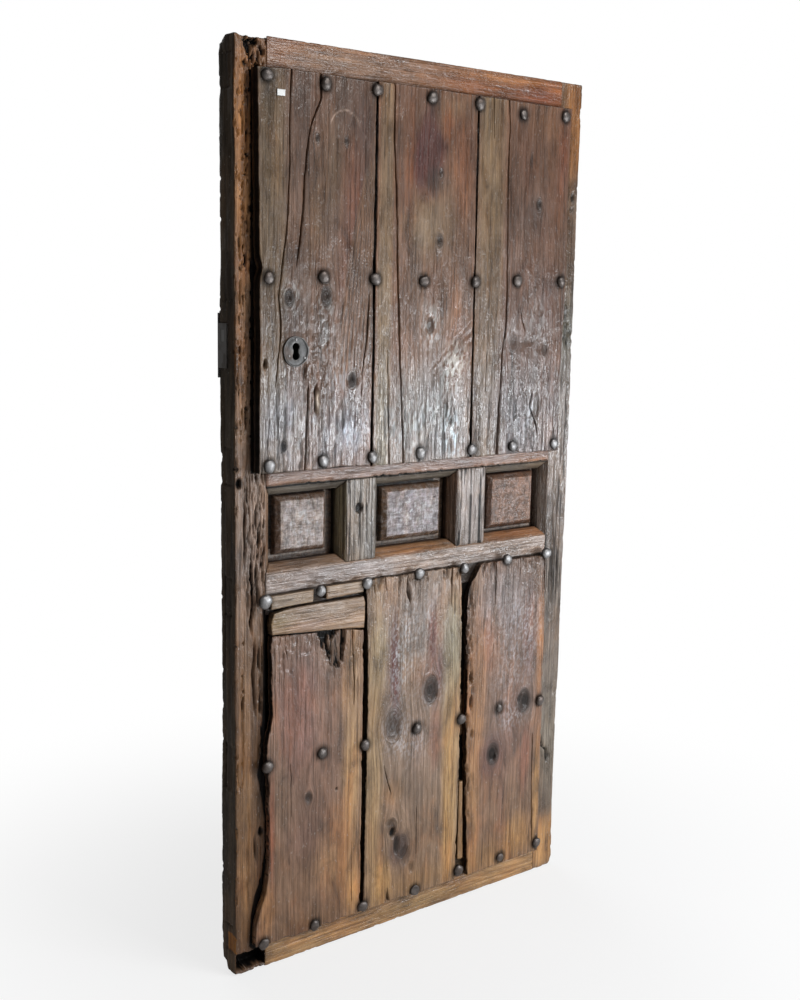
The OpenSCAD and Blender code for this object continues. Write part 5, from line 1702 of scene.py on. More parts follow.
def ftr_marks(x, y, z, side, tot):
    # painted shade: the face darkens where it runs behind the boards and against the closing stile, and the chamfer's
    # underside darkens at the face and at the back
    dirt_and_shade = np.where((side == "f"), 0.85 * ss(1086, 1092, z), 0)
    dirt_and_shade = np.maximum(dirt_and_shade, (side == "f") * 0.5 * (1 - ss(0.5, 4, x - XLF)))
    dirt_and_shade = np.maximum(dirt_and_shade, (side == "d") * (0.25 + 0.65 * (1 - ss(3.0, 5.5, y)) + 0.65 * ss(17, 26, y)))
    worn = 0.55 * ss(1.2, 3.5, tot["f"]) * (1 - ss(6, 9, tot["f"])) * (side == "f") * (z < 1072)
    return mk4(len(x), dirt_and_shade, 0, 0.45 + 0.3 * fbm(x / 40., z / 20., 234, 3), worn)


def tint_ftr(base, blobs):
    f0 = flat_tint(base, blobs)

    def f(x, y, z, side):
        return np.where((side == "d")[:, None], lin(122, 112, 100)[None], f0(x, y, z, side))
    return f


rail("frieze_top_rail_worn", "frieze_top_rail", MAT_FR, 1062, 1150,
     tint_ftr(lin(142, 114, 100), [(-320, 1060, 60, 20, lin(156, 126, 108), 0.7), (-100, 1075, 90, 20, lin(140, 122, 114), 0.6),
                                  (120, 1075, 70, 20, lin(106, 80, 66), 0.6), (350, 1070, 60, 20, lin(124, 96, 78), 0.5)]),
     chz0=20.0, front=ftr_front, marks=ftr_marks, seed=230, step=(3.4, 3.0), chip=2.0, zmarks=[(1090, (-1, 0, 1))])


def fbr_front(x, z):
    d = 0.5 + 1.6 * fbm(x / 90.0, z / 6.0, 241, 4)
    d += 3.0 * ss(0.6, 0.75, fbm(x / 26.0, z / 5.0, 242, 4)) * (1 - ss(848, 872, z))
    return d


def fbr_marks(x, y, z, side, tot):
    # painted shade: the face darkens where it runs behind the boards and against the closing stile, and the sill
    # darkens towards the back
    dirt_and_shade = np.where((side == "f"), 0.75 * (1 - ss(834, 841, z)) , 0)
    dirt_and_shade = np.maximum(dirt_and_shade, (side == "f") * 0.55 * (1 - ss(0.5, 5, x - XLF)))
    dirt_and_shade = np.maximum(dirt_and_shade, (side == "u") * (0.05 + 0.75 * ss(17, 30, y)))
    dirt_and_shade = np.maximum(dirt_and_shade, ss(3.5, 7.0, tot["f"]) * 0.8 * (side == "f"))
    worn = 0.5 * ss(1.0, 2.6, tot["f"]) * (1 - ss(3.0, 6.0, tot["f"])) * (side == "f")
    return mk4(len(x), dirt_and_shade, 0, 0.5 + 0.3 * fbm(x / 40., z / 20., 244, 3), worn)


def tint_fbr(x, y, z, side):
    c = blend_tints(lin(148, 132, 122), [
        (-300, 870, 110, 24, lin(144, 126, 118), 0.6), (-120, 862, 120, 24, lin(146, 134, 130), 0.6),
        (250, 862, 160, 24, lin(118, 96, 80), 0.5)], x, z)
    sill = blend_tints(lin(128, 100, 78), [(-300, 888, 80, 30, lin(126, 106, 92), 0.7), (0, 888, 100, 30, lin(142, 102, 68), 0.6),
                                          (300, 888, 100, 30, lin(130, 88, 60), 0.6)], x, z)
    c = np.where((side == "u")[:, None], sill, c)
    return np.where((side == "b")[:, None], lin(92, 76, 62)[None], c)


rail("frieze_bottom_rail_worn", "frieze_bottom_rail", MAT_FR, 790, 880, tint_fbr,
     chz1=18.0, front=fbr_front, marks=fbr_marks, seed=240, step=(3.4, 3.0), chip=1.6, zmarks=[(838, (-1, 0, 1))])


def br_marks(x, y, z, side, tot):
    dirt_and_shade = np.where((side == "f"), 0.75 * ss(54, 61, z), 0)
    dirt_and_shade = np.maximum(dirt_and_shade, (side == "f") * 0.6 * (1 - ss(0.5, 4, x - XLF)))
    worn = 0.45 * ss(1.0, 2.6, tot["f"]) * (side == "f")
    return mk4(len(x), dirt_and_shade, 0, 0.3 + 0.3 * fbm(x / 60., z / 20., 254, 3), worn)


rail("bottom_rail_worn", "bottom_rail", MAT_FR, 0, 118,
     flat_tint(lin(146, 114, 80), [(-250, 20, 180, 12, lin(156, 124, 88), 0.7), (100, 25, 200, 12, lin(150, 118, 80), 0.6),
                                   (-100, 50, 300, 12, lin(124, 94, 68), 0.6), (330, 20, 80, 30, lin(164, 124, 82), 0.6)]),
     marks=br_marks, seed=250, step=(4.4, 3.4), chip=1.2, round_=5.0)


# mullions ------------------------------------------------------------------

def mullion(name, node, m0, m1, tint, seed, hole=None):
    zt, zb, cw, cd = 1062.0, 880.0, 17.0, 20.0
    xs = refine(spaced(m0, m1, 2.6), [(m0, (0.8, 1.8)), (m1, (-0.8, -1.8))])
    zs = refine(spaced(zb, zt, 2.9), [(zb, (0.8,)), (zt, (-0.8,))])

    def warp(x, y, z):
        f = np.clip(y / cd, 0, 1)
        t = (x - m0) / (m1 - m0)
        a = m0 - cw * f
        b = m1 + cw * f
        s = (z - zb) / (zt - zb)
        lo = zb + 18 * f
        hi = zt - 20 * f
        return a + (b - a) * t, y, lo + (hi - lo) * s

    def front(x, z):
        d = 0.5 + 1.5 * fbm(x / 8.0, z / 90.0, seed, 4)
        if hole:
            q = np.hypot((x - hole[0]) / 9.0, (z - hole[1]) / 12.0) * (1 + 0.5 * (fbm(x / 5., z / 6., seed + 3, 3) - .5))
            d = np.maximum(d, 6 * (1 - ss(0.6, 1.2, q)))
        return d

    def sidef(y, z):
        # worked moulding: a shallow bead under the arris
        return 0.3 + 1.0 * fbm(y / 6.0, z / 80.0, seed + 1, 3) + 1.6 * np.exp(-((y - 8) / 1.6) ** 2) + 1.6 * np.exp(-((y - 16) / 1.4) ** 2)

    def marks(x, y, z, side, tot):
        # painted shade: the side faces darken towards the panels, and the left side, turned from the light, more
        dirt_and_shade = np.where((side == "l") | (side == "r"), 0.06 + 0.75 * ss(18, 28, y), 0)
        dirt_and_shade = np.maximum(dirt_and_shade, np.where(side == "l", 0.22, 0))
        dirt_and_shade = np.maximum(dirt_and_shade, ss(3.0, 6.0, tot["f"]) * 0.9 * (side == "f"))
        dirt_and_shade = np.maximum(dirt_and_shade, 0.8 * ss(0.555, 0.63, fbm(x / 2.8, z / 120.0, seed + 8, 3)) * (side == "f"))
        worn = 0.35 * ss(1.0, 2.2, tot["f"]) * (1 - ss(2.6, 4.0, tot["f"]))
        kn = np.zeros(len(x))
        if hole:
            kn = 1 - ss(8, 15, np.hypot(x - hole[0], z - hole[1]))
        return mk4(len(x), dirt_and_shade, kn * (side == "f"), 0.5, worn)
    ys = np.array([0, 1.2, 3, 5.5, 7, 9, 11.5, 14, 16.5, 20, 24, 30, 36, 45, 55, T])
    P, F_c, at = piece(name, xs, ys, zs, warp, dict(f=front, l=sidef, r=sidef), along_z, tint, marks, coarse=(5, 5),
                       round_=2.4, chip=1.6, seed=seed, decay=7.0)
    ob = make_object(name, P, F_c, at)
    return finish_piece(ob, node, MAT_FR)


def tint_m(base, left):
    def f(x, y, z, side):
        c = blend_tints(base, [], x, z)
        # the left side face takes the darker tone given, painted shade; the right side face is 0.7 of the face
        c = np.where((side == "l")[:, None], left[None], c)
        c = np.where((side == "r")[:, None], c * 0.7, c)
        return np.where((side == "b")[:, None], lin(92, 76, 62)[None], c)
    return f


# the face tones are lifted and cooled: the lamps' sheen painted in
mullion("mullion_left_worn", "mullion_left", -197, -118, tint_m(lin(118, 106, 96) * (1.28, 1.38, 1.46), lin(104, 92, 70) * 0.85), 261, hole=(-163, 997))
mullion("mullion_right_worn", "mullion_right", 118, 203, tint_m(lin(126, 112, 102) * (1.14, 1.20, 1.30), lin(84, 66, 54)), 271)


# panels --------------------------------------------------------------------

def raised_panel(name, node, x0, x1, fx, fz, field, bevel, seed, pits=(), glint_amount=0.4):
    xa, xb, za, zb = x0 - 9, x1 + 9, 898 - 9, 1042 + 9
    b = 11.0
    xs = refine(spaced(xa, xb, 2.7), [(fx[0] - b, (-1.2, -0.3, 0.5)), (fx[0], (-0.9, 0, 0.9)), (fx[1], (-0.9, 0, 0.9)), (fx[1] + b, (-0.5, 0.3, 1.2))])
    zs = refine(spaced(za, zb, 2.7), [(fz[0] - b, (-1.2, -0.3, 0.5)), (fz[0], (-0.9, 0, 0.9)), (fz[1], (-0.9, 0, 0.9)), (fz[1] + b, (-0.5, 0.3, 1.2))])
    ys = np.array([36.0, 40.0, 46.0, 52.0])

    def out_d(x, z):
        return np.maximum(np.maximum(fx[0] - x, x - fx[1]), np.maximum(fz[0] - z, z - fz[1]))

    def face(x, z):
        d = out_d(x, z)
        y = 15.0 + np.clip(d, 0, b)
        y = y + ss(b - 0.3, b + 0.9, d) * 10.0
        y = y + 0.5 * np.exp(-(d / 1.5) ** 2)
        und = 1.2 * fbm(x / 22.0, z / 16.0, seed, 3) + 0.5 * (fbm(x / 40.0, z / 6.0, seed + 1, 3) - 0.5) + 0.8 * (fbm(x / 6.0, z / 5.0, seed + 2, 3) - 0.5)
        y = y + und
        for cx, cz, r, dep in pits:
            q = np.hypot(x - cx, z - cz) / r
            y = y + dep * (1 - ss(0.6, 1.3, q))
        return np.minimum(y, 36.6)
    I, J, K, faces = lattice(len(xs), len(ys), len(zs), (5, 5))
    x, y, z = xs[I], ys[J], zs[K]
    fy = face(x, z)
    edge = (I == 0) | (I == len(xs) - 1) | (K == 0) | (K == len(zs) - 1)
    Y = np.where((J == 0) & ~edge, fy, y)
    Y = np.where(J == len(ys) - 1, 52.0 - 0.2, Y)
    P = np.stack([x, Y, z], -1)
    d = out_d(x, z)
    fieldm = 1 - ss(-1.0, 1.5, d)
    c = np.tile(bevel, (len(x), 1)) * (1 - fieldm[:, None]) + field[None] * fieldm[:, None]
    mot = fbm(x / 16.0, z / 12.0, seed + 4, 4)
    # the field brightens in mottled patches, part of its painted sheen
    mo2 = ss(0.42, 0.60, fbm(x / 11.0, z / 9.0, seed + 6, 4))
    c = c * (0.62 + 0.42 * mot + 0.42 * mo2 * fieldm)[:, None]
    # painted highlight: a pale line on the margin at the right and below the field, where the light catches
    rim = np.exp(-((d - b - 5.0) / 3.0) ** 2) * ((x > fx[1]) | (z < fz[0]))
    c = c * (1 - 0.6 * rim[:, None]) + lin(176, 160, 146)[None] * (0.6 * rim)[:, None]
    dirt_and_shade = np.zeros(len(x))
    # painted shade: the sunk margin darkens, less under the pale line, and the foot of the bevel more
    dirt_and_shade = np.maximum(dirt_and_shade, ss(b + 0.2, b + 1.5, d) * (0.55 + 0.3 * (1 - ss(4, 14, d - b))) * (1 - 0.75 * rim))
    dirt_and_shade = np.maximum(dirt_and_shade, 0.45 * np.exp(-((d - b) / 1.6) ** 2))
    for cx, cz, r, dep in pits:
        dirt_and_shade = np.maximum(dirt_and_shade, 0.95 * (1 - ss(0.5, 1.2, np.hypot(x - cx, z - cz) / r)))
    worn = 0.3 * np.exp(-((d + 0.5) / 1.6) ** 2)
    wx = 0.35 + 0.65 * fieldm
    back = J == len(ys) - 1
    c = np.where(back[:, None], lin(92, 76, 62)[None], c)
    mk = mk4(len(x), np.where(back, 0.1, dirt_and_shade), 0, np.where(back, 0.0, wx), worn)
    gr = np.stack([z + seed * 7, Y, x * 9.0], -1) / 1000.0
    # painted highlights where the wax glints on the field
    c = painted_glints(c, x, z, [((fx[0] + fx[1]) / 2, (fz[0] + fz[1]) / 2, (fx[1] - fx[0]) * 0.5, (fz[1] - fz[0]) * 0.5, glint_amount)], fine=6.0, long_=5.0, seed=seed + 9)
    c = np.where(back[:, None], lin(92, 76, 62)[None], c)
    ob = make_object(name, P, faces, dict(gr=gr, tint=c, mk=mk))
    return finish_piece(ob, node, MAT_PA)


# the left and middle fields' tones are lifted and cooled: the lamps' sheen painted in
raised_panel("panel_left_worn", "panel_left", -386, -214, (-355, -247), (924, 1026), lin(118, 104, 96) * (1.80, 1.96, 2.14), lin(100, 78, 64) * (1.08, 1.12, 1.15), 281)
raised_panel("panel_middle_worn", "panel_middle", -101, 101, (-74, 74), (922, 1022), lin(118, 106, 100) * (1.56, 1.68, 1.94), lin(108, 84, 66), 291, glint_amount=0.55,
             pits=[(62, 1000, 3.2, 4.0), (-40, 960, 2.2, 1.5)])
raised_panel("panel_right_worn", "panel_right", 220, 391, (240, 366), (918, 1026), lin(126, 100, 84) * (0.92, 0.90, 0.94), lin(104, 76, 60) * (0.80, 0.80, 0.80), 301, glint_amount=0.12)


# patches -------------------------------------------------------------------

def patch(name, node, left, right, bottom, top, yf, yb, tone, seed, nails=(), res=2.6, blobs=()):
    n = 60
    zb = lambda x: bottom(x)
    x0 = float(np.min(left(np.linspace(700, 850, 20))))
    x1 = float(np.max(right(np.linspace(700, 850, 20))))
    us = spaced(0, 1, res / (x1 - x0))
    us = np.unique(np.r_[us, 1.0 / (x1 - x0), 2.4 / (x1 - x0), 1 - 1.0 / (x1 - x0), 1 - 2.4 / (x1 - x0)])
    hgt = float(np.mean(top(np.linspace(x0, x1, 9)) - bottom(np.linspace(x0, x1, 9))))
    vs = spaced(0, 1, res / hgt)
    vs = np.unique(np.r_[vs, 1.0 / hgt, 1 - 1.0 / hgt])
    ys = np.array([yf, yf + 1.0, yf + 3, yf + 8, yb])
    I, J, K, faces = lattice(len(us), len(ys), len(vs), (6, 4))
    u, v, y = us[I], vs[K], ys[J].astype(float)
    xg = x0 + (x1 - x0) * u
    z = bottom(xg) + (top(xg) - bottom(xg)) * v
    x = left(z) + (right(z) - left(z)) * u
    emin = np.minimum(np.minimum(x - left(z), right(z) - x), np.minimum(z - bottom(x), top(x) - z))
    emin = np.maximum(emin, 0)
    D = 0.3 + 1.0 * fbm(x / 50.0, z / 5.0, seed, 4) + 1.4 * fbm(x / 60.0, z / 30.0, seed + 1, 2)
    er = 1.6 + 2.4 * fbm(x / 20.0, z / 20.0, seed + 2, 3)
    D = D + soft_edge(emin, er, 1.0) * er * 0.5
    w = np.clip(1 - (y - yf) / 8.0, 0, 1) ** 2
    Y = y + D * w
    P = np.stack([x, Y, z], -1)
    c = blend_tints(tone, blobs, x, z)
    front = J == 0
    # painted shade: the face darkens at its outline and the side faces go dark, with some grime
    dirt_and_shade = np.where(front, (1 - ss(0, 3.0, emin)) * 0.35, 0.65)
    dirt_and_shade = np.maximum(dirt_and_shade, nail_stain(x, z, nails) * front * 0.8)
    mk = mk4(len(x), dirt_and_shade, 0, 0.35, 0.25 * (1 - ss(1, 6, emin)))
    gr = np.stack([z + seed * 3, Y, x], -1) / 1000.0
    ob = make_object(name, P, faces, dict(gr=gr, tint=c, mk=mk))
    return finish_piece(ob, node, MAT_RE)


patch("patch_board_worn", "patch_board",
      curve([(-396, 748), (-399, 765), (-399, 782), (-393, 797), (-388, 806)], 0.8, 62, 10),
      curve([(-158, 735), (-156, 760), (-155, 790), (-162, 806)], 0.8, 63, 10),
      zcurve([(-400, 752), (-330, 747), (-211, 738), (-155, 732)], 0.5, 64), zcurve([(-400, 797), (-360, 803), (-260, 804), (-155, 803)], 0.6, 65),
      -LT - 1, 0, lin(142, 116, 92), 311,
      blobs=[(-378, 778, 30, 26, lin(124, 106, 72), 0.7), (-250, 790, 90, 14, lin(150, 132, 116), 0.6),
             (-180, 765, 34, 26, lin(146, 114, 84), 0.5), (-300, 760, 60, 12, lin(150, 116, 96), 0.6)])
patch("patch_lath_left_worn", "patch_lath_left",
      curve([(-399, 800), (-398, 840)], 0.8, 66, 8), curve([(-294, 800), (-291, 840)], 1.2, 67, 8),
      zcurve([(-400, 806), (-340, 808), (-290, 809)], 0.5, 68), zcurve([(-400, 835), (-290, 836)], 0.6, 69),
      -LT, 0, lin(134, 114, 94), 321, nails=LOWER_NAILS)
patch("patch_lath_right_worn", "patch_lath_right",
      curve([(-258, 800), (-260, 840)], 1.2, 72, 8), curve([(-160, 800), (-160, 840)], 0.8, 73, 8),
      zcurve([(-262, 810), (-158, 813)], 0.5, 74), zcurve([(-262, 838), (-158, 838)], 0.4, 75),
      -LT, 0, lin(140, 120, 100), 331, nails=LOWER_NAILS)


def patch_z(name, node):
    """The thin filler in the seam, with the grain upright."""
    xs_ = np.linspace(0, 1, 9)
    zs_ = spaced(108, 306, 4)
    ys_ = np.array([-15.0, -14, -11, -5, 0])
    I, J, K, faces = lattice(len(xs_), len(ys_), len(zs_))
    u, y, z = xs_[I], ys_[J], zs_[K]
    a = np.interp(z, [108, 306], [136.5, 135.5]) + 1.6 * fbm(z / 18.0, 1, 341, 3)
    b = np.interp(z, [108, 306], [155, 147.5]) - 1.8 * fbm(z / 22.0, 4, 342, 3)
    x = a + (b - a) * u
    D = 0.3 + 2.2 * fbm(x / 5.0, z / 40.0, 343, 3) + 2.0 * np.abs(u - 0.5) ** 2 * 4
    Y = np.minimum(y + D * np.clip(1 - (y + 15) / 8, 0, 1), 0)
    P = np.stack([x, Y, z], -1)
    c = np.tile(lin(136, 106, 76), (len(x), 1))
    # the side faces go dark, painted shade in the seam
    mk = mk4(len(x), np.where(J == 0, 0.12, 0.6), 0, 0.2, 0.2)
    ob = make_object(name, P, faces, dict(gr=np.stack([x, Y, z], -1) / 1000.0, tint=c, mk=mk))
    return finish_piece(ob, node, MAT_LO)


patch_z("seam_sliver_worn", "seam_sliver")


def laths(name, node, x0, x1, seed):
    """Two laths behind an open seam, one on each side of the hidden rail. Their front and sides are painted near black,
    as the shade in the gap.
    """
    Ps, Fs, at_ = [], [], dict(gr=[], tint=[], mk=[])
    base = 0
    for z0, z1 in ((118.0, 414.0), (518.0, 790.0)):
        P, F_, at = piece(name, spaced(x0, x1, 6), np.array([0, 2, 8, 16, 22.0]), refine(spaced(z0, z1, 9), []), lambda x, y, z: (x, y, z),
                          dict(b=lambda x, z: 0.1 + 0.3 * fbm(x / 9.0, z / 90.0, seed, 3)), along_z,
                          # painted shade: near black on all but the back
                          lambda x, y, z, side: np.where((side == "b")[:, None], lin(96, 78, 62)[None], lin(44, 36, 30)[None]),
                          lambda x, y, z, side, tot: mk4(len(x), np.where(side == "b", 0.0, 0.93), 0, 0, 0),
                          round_=0.5, chip=0.1, seed=seed, decay=6)
        Fs += [[v + base for v in f] for f in F_]
        base += len(P)
        Ps.append(P)
        for k in at_:
            at_[k].append(at[k])
    ob = make_object(name, np.vstack(Ps), Fs, {k: np.vstack(v) for k, v in at_.items()})
    return finish_piece(ob, node, MAT_BK)


laths("back_lath_closing_worn", "back_lath_closing", XLI, XLI + 46, 411)
laths("back_lath_left_worn", "back_lath_left", -186, -118, 421)
laths("back_lath_right_worn", "back_lath_right", 102, 186, 431)


# lock block behind the board (seen from the back only)
xs = spaced(XLI, -282, 5)
zs = refine(spaced(1285, 1415, 5), [(1305, (-0.6, 0.6)), (1395, (-0.6, 0.6))])
ys = np.array([0, 4, 12, 24, 40, 56, 62, T])
P, F_c, at = piece("lock_block_worn", xs, ys, zs, lambda x, y, z: (x, y, z), dict(b=lambda x, z: 0.3 + 0 * x), along_z,
                   lambda x, y, z, side: np.tile(lin(96, 78, 62), (len(x), 1)), simple_marks(401, base_dirt=0.1), round_=1.5, chip=0.6, seed=401, decay=5)
ob = make_object("lock_block_worn", P, F_c, at)
finish_piece(ob, "lock_block", MAT_BK)


# ---------------------------------------------------------------- nails

def nail_mesh(name, node, nails, face_y, seed, sizes=None, flat=(), lit_row=lambda z: True):
    rs = np.random.RandomState(seed)
    V, F, MK, MI, base = [], [], [], [], 0
    nr, ns = 8, 20
    for i, (nx_, nz_) in enumerate(nails):
        R = 12.0 + 1.4 * rs.rand()
        hgt = 6.4 + 1.4 * rs.rand()
        if sizes and i in sizes:
            R, hgt = sizes[i]
        sq = 1.0 + 0.10 * (rs.rand() - 0.5)
        rot = rs.rand() * 6.28
        tilt = (rs.rand(2) - 0.5) * 0.16
        yb = face_y + 1.4
        ph = rs.rand(6) * 6.28
        facets = rs.rand(7) * 6.28
        facr = 0.35 + 0.45 * rs.rand(7)
        for r in range(nr + 1):
            t = r / nr                      # 0 at the crown, 1 at the rim
            for s in range(ns if r else 1):
                a = 2 * math.pi * s / ns
                lob = 1 + 0.045 * math.sin(2 * a + ph[0]) + 0.035 * math.sin(3 * a + ph[1]) + 0.025 * math.sin(5 * a + ph[2])
                rad = R * lob * math.sin(t * math.pi / 2) ** 0.92
                px = rad * math.cos(a + rot) * sq
                pz = rad * math.sin(a + rot) / sq
                h = hgt * (math.cos(t * math.pi / 2) ** 0.85)
                if i in flat:
                    h = min(h, hgt * 0.55) + 0.05 * hgt
                # hammer facets
                for k in range(7):
                    dx = px - R * facr[k] * math.cos(facets[k])
                    dz = pz - R * facr[k] * math.sin(facets[k])
                    h -= 0.28 * math.exp(-(dx * dx + dz * dz) / 12.0)
                h += tilt[0] * px + tilt[1] * pz
                if r == nr:
                    h = 0.2
                h = max(h, 0.2)
                V.append((nx_ + px, max(yb - 1.4 - h, face_y - 8.0), nz_ + pz))
                # mk's red darkens the rim where the head meets the wood, rust with painted shade; the alpha wears the
                # crown bright
                MK.append((0.55 * ss(0.80, 1.0, t) + 0.0, 0, 0, max(0.0, 0.7 * (1 - t * 1.3)) * (0.3 + 0.7 * rs.rand())))
        # skirt into the wood, darkened as grime and painted shade
        for s in range(ns):
            x_, y_, z_ = V[base + 1 + (nr - 1) * ns + s]
            V.append((nx_ + (x_ - nx_) * 0.97, face_y + 4.0, nz_ + (z_ - nz_) * 0.97))
            MK.append((0.9, 0, 0, 0))
        for s in range(ns):
            F.append([base, base + 1 + (s + 1) % ns, base + 1 + s])
        for r in range(nr):
            o = base + 1 + r * ns
            for s in range(ns):
                F.append([o + s, o + (s + 1) % ns, o + ns + (s + 1) % ns, o + ns + s])
        F.append([base + 1 + nr * ns + s for s in range(ns)])
        # rows in the lamps' sheen take the paler iron, a painted highlight
        MI += [0 if lit_row(nz_) else 1] * (len(F) - len(MI))
        base = len(V)
    P = np.array(V)
    ob = make_object(name, P, F, dict(mk=np.array(MK)))
    finish_piece(ob, node, MAT_NAIL)
    ob.data.materials.append(MAT_NAIL_DK)
    ob.data.polygons.foreach_set("material_index", MI)
    return ob


nail_mesh("upper_nails_forged", "upper_board_nails", UPPER_NAILS, -UT, 71, sizes={5: (10.5, 4.5), 4: (13.5, 7.2), 7: (11.5, 4.2)},
          lit_row=lambda z: z < 1300)
nail_mesh("lower_nails_forged", "lower_board_nails", LOWER_NAILS, -LT, 72,
          sizes={0: (15.5, 8.0), 12: (9.0, 3.5), 14: (12.5, 4.5), 17: (13, 5.5), 19: (10.5, 5.0), 18: (14.2, 7.5)}, flat=(17,), lit_row=lambda z: z > 640)


# ---------------------------------------------------------------- keyhole

def keyhole_outline(a, r=8.0, waist=5.25, drop=18.0):
    """Distance from the hole's middle to its edge, along the angle a."""
    best = 0.0
    ca, sa = math.cos(a), math.sin(a)
    for k in range(1, 260):
        d = k * 0.1
        x_, z_ = d * ca, d * sa
        ins = math.hypot(x_, z_ - drop / 2) < r or math.hypot(x_, z_ + drop / 2) < r or (abs(x_) < waist and abs(z_) < drop / 2)
        if ins:
            best = d
    return best


def escutcheon():
    kx, kz = -348.0, 1340.0
    ns, nr = 72, 12
    V, F, MK = [], [], []
    R = 31.0
    prof = [(0.0, 0.0), (0.02, 1.7), (0.06, 2.0), (0.25, 2.05), (0.45, 2.0), (0.62, 2.0), (0.76, 1.9), (0.84, 2.1), (0.89, 3.4),
            (0.94, 3.7), (0.985, 3.2), (1.0, 1.6), (1.0, -0.6)]
    outl = [keyhole_outline(2 * math.pi * s / ns) for s in range(ns)]
    rs = np.random.RandomState(5)
    for s in range(ns):
        a = 2 * math.pi * s / ns
        ri = outl[s] + 0.15
        ro = R * (1 + 0.012 * math.sin(3 * a + 1) + 0.01 * math.sin(7 * a))
        for t, h in prof:
            rad = ri + (ro - ri) * t
            dent = 0.35 * math.sin(rad * 0.35 + 2 * a) * (0.2 < t < 0.8)
            V.append((kx + rad * math.cos(a), -UT - h + dent * 0.4, kz + rad * math.sin(a)))
            # mk's red darkens the edge by the hole and the edge against the wood, painted shade
            MK.append((0.8 if t < 0.01 or h < 0 else 0.0, 0, 0, 0.55 if 0.88 < t < 0.99 else (0.35 if t < 0.07 else 0.12 * rs.rand())))
    n = len(prof)
    # inside wall of the hole, going back, painted black as the hole's shade
    for s in range(ns):
        x_, y_, z_ = V[s * n]
        V.append((x_, -UT + 1.0, z_))
        MK.append((1, 0, 0, 0))
    wall = ns * n
    for s in range(ns):
        s2 = (s + 1) % ns
        for k in range(n - 1):
            F.append([s * n + k, s2 * n + k, s2 * n + k + 1, s * n + k + 1])
        F.append([s * n, wall + s, wall + s2, s2 * n])
    P = np.array(V)
    F = [f[::-1] for f in F]
    ob = make_object("escutcheon_forged", P, F, dict(mk=np.array(MK)))
    return finish_piece(ob, "escutcheon", MAT_PLATE)


escutcheon()
P_ESC = [(-348 + 0, 1340 + 24), (-348 - 17, 1340 - 9), (-348 + 21, 1340 - 13)]


def pins():
    V, F, MK = [], [], []
    base = 0
    for (px, pz) in P_ESC:
        nr, ns = 4, 12
        for r in range(nr + 1):
            t = r / nr
            for s in range(ns if r else 1):
                a = 2 * math.pi * s / ns
                rad = 3.1 * math.sin(t * math.pi / 2)
                V.append((px + rad * math.cos(a), -UT - 2.0 - 1.9 * math.cos(t * math.pi / 2), pz + rad * math.sin(a)))
                MK.append((0, 0, 0, 0.8 * (1 - t)))
        for s in range(ns):
            x_, y_, z_ = V[base + 1 + (nr - 1) * ns + s]
            V.append((x_, -UT - 1.0, z_))
            # the skirt is darkened, painted shade where the head meets the plate
            MK.append((0.6, 0, 0, 0))
            F.append([base, base + 1 + (s + 1) % ns, base + 1 + s])
        for r in range(nr):
            o = base + 1 + r * ns
            for s in range(ns):
                F.append([o + s, o + (s + 1) % ns, o + ns + (s + 1) % ns, o + ns + s])
        F.append([base + 1 + nr * ns + s for s in range(ns)])
        base = len(V)
    ob = make_object("escutcheon_pins_forged", np.array(V), F, dict(mk=np.array(MK)))
    return finish_piece(ob, "escutcheon_pins", MAT_NAIL)


pins()


# lock on the back: the CAD solids stay, with forged iron on them
for n_, m_ in (("lock_case", MAT_PLATE), ("lock_plate", MAT_PLATE), ("lock_bolt", MAT_LOCK), ("lock_bolt_guide", MAT_LOCK),
               ("lock_spring", MAT_LOCK), ("lock_nails", MAT_NAIL)):
    o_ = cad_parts[n_]
    o_.data.materials.clear()
    o_.data.materials.append(m_)


# paper tag -----------------------------------------------------------------

def paper():
    m = bpy.data.materials.new("tag_paper")
    m.use_nodes = True
    nt = m.node_tree
    bs = nt.nodes["Principled BSDF"]
    tc = nt.nodes.new("ShaderNodeTexCoord")
    n = nt.nodes.new("ShaderNodeTexNoise")
    n.inputs["Scale"].default_value = 900
    n.inputs["Detail"].default_value = 4
    nt.links.new(tc.outputs["Object"], n.inputs["Vector"])
    r = nt.nodes.new("ShaderNodeValToRGB")
    r.color_ramp.elements[0].color = (0.74, 0.74, 0.72, 1)
    r.color_ramp.elements[1].color = (0.9, 0.9, 0.89, 1)
    nt.links.new(n.outputs["Fac"], r.inputs[0])
    nt.links.new(r.outputs[0], bs.inputs["Base Color"])
    bs.inputs["Roughness"].default_value = 0.85
    b = nt.nodes.new("ShaderNodeBump")
    b.inputs["Strength"].default_value = 0.3
    b.inputs["Distance"].default_value = 0.0002
    nt.links.new(n.outputs["Fac"], b.inputs["Height"])
    nt.links.new(b.outputs[0], bs.inputs["Normal"])
    us_, vs_ = np.linspace(0, 1, 15), np.linspace(0, 1, 11)
    I, J, K, faces = lattice(15, 2, 11)
    u, v = us_[I], vs_[K]
    x = -394 + 18 * u
    z = 1836 + 12 * v
    curl = 0.3 + 1.3 * np.clip(u - 0.7, 0, 1) ** 2 * 8 * v
    y = -UT - 0.0 - curl - np.where(J == 0, 0.18, 0.0)
    ob = make_object("paper_tag_curled", np.stack([x, y, z], -1), faces, {})
    return finish_piece(ob, "paper_tag", m)


paper()


# ---------------------------------------------------------------- stage

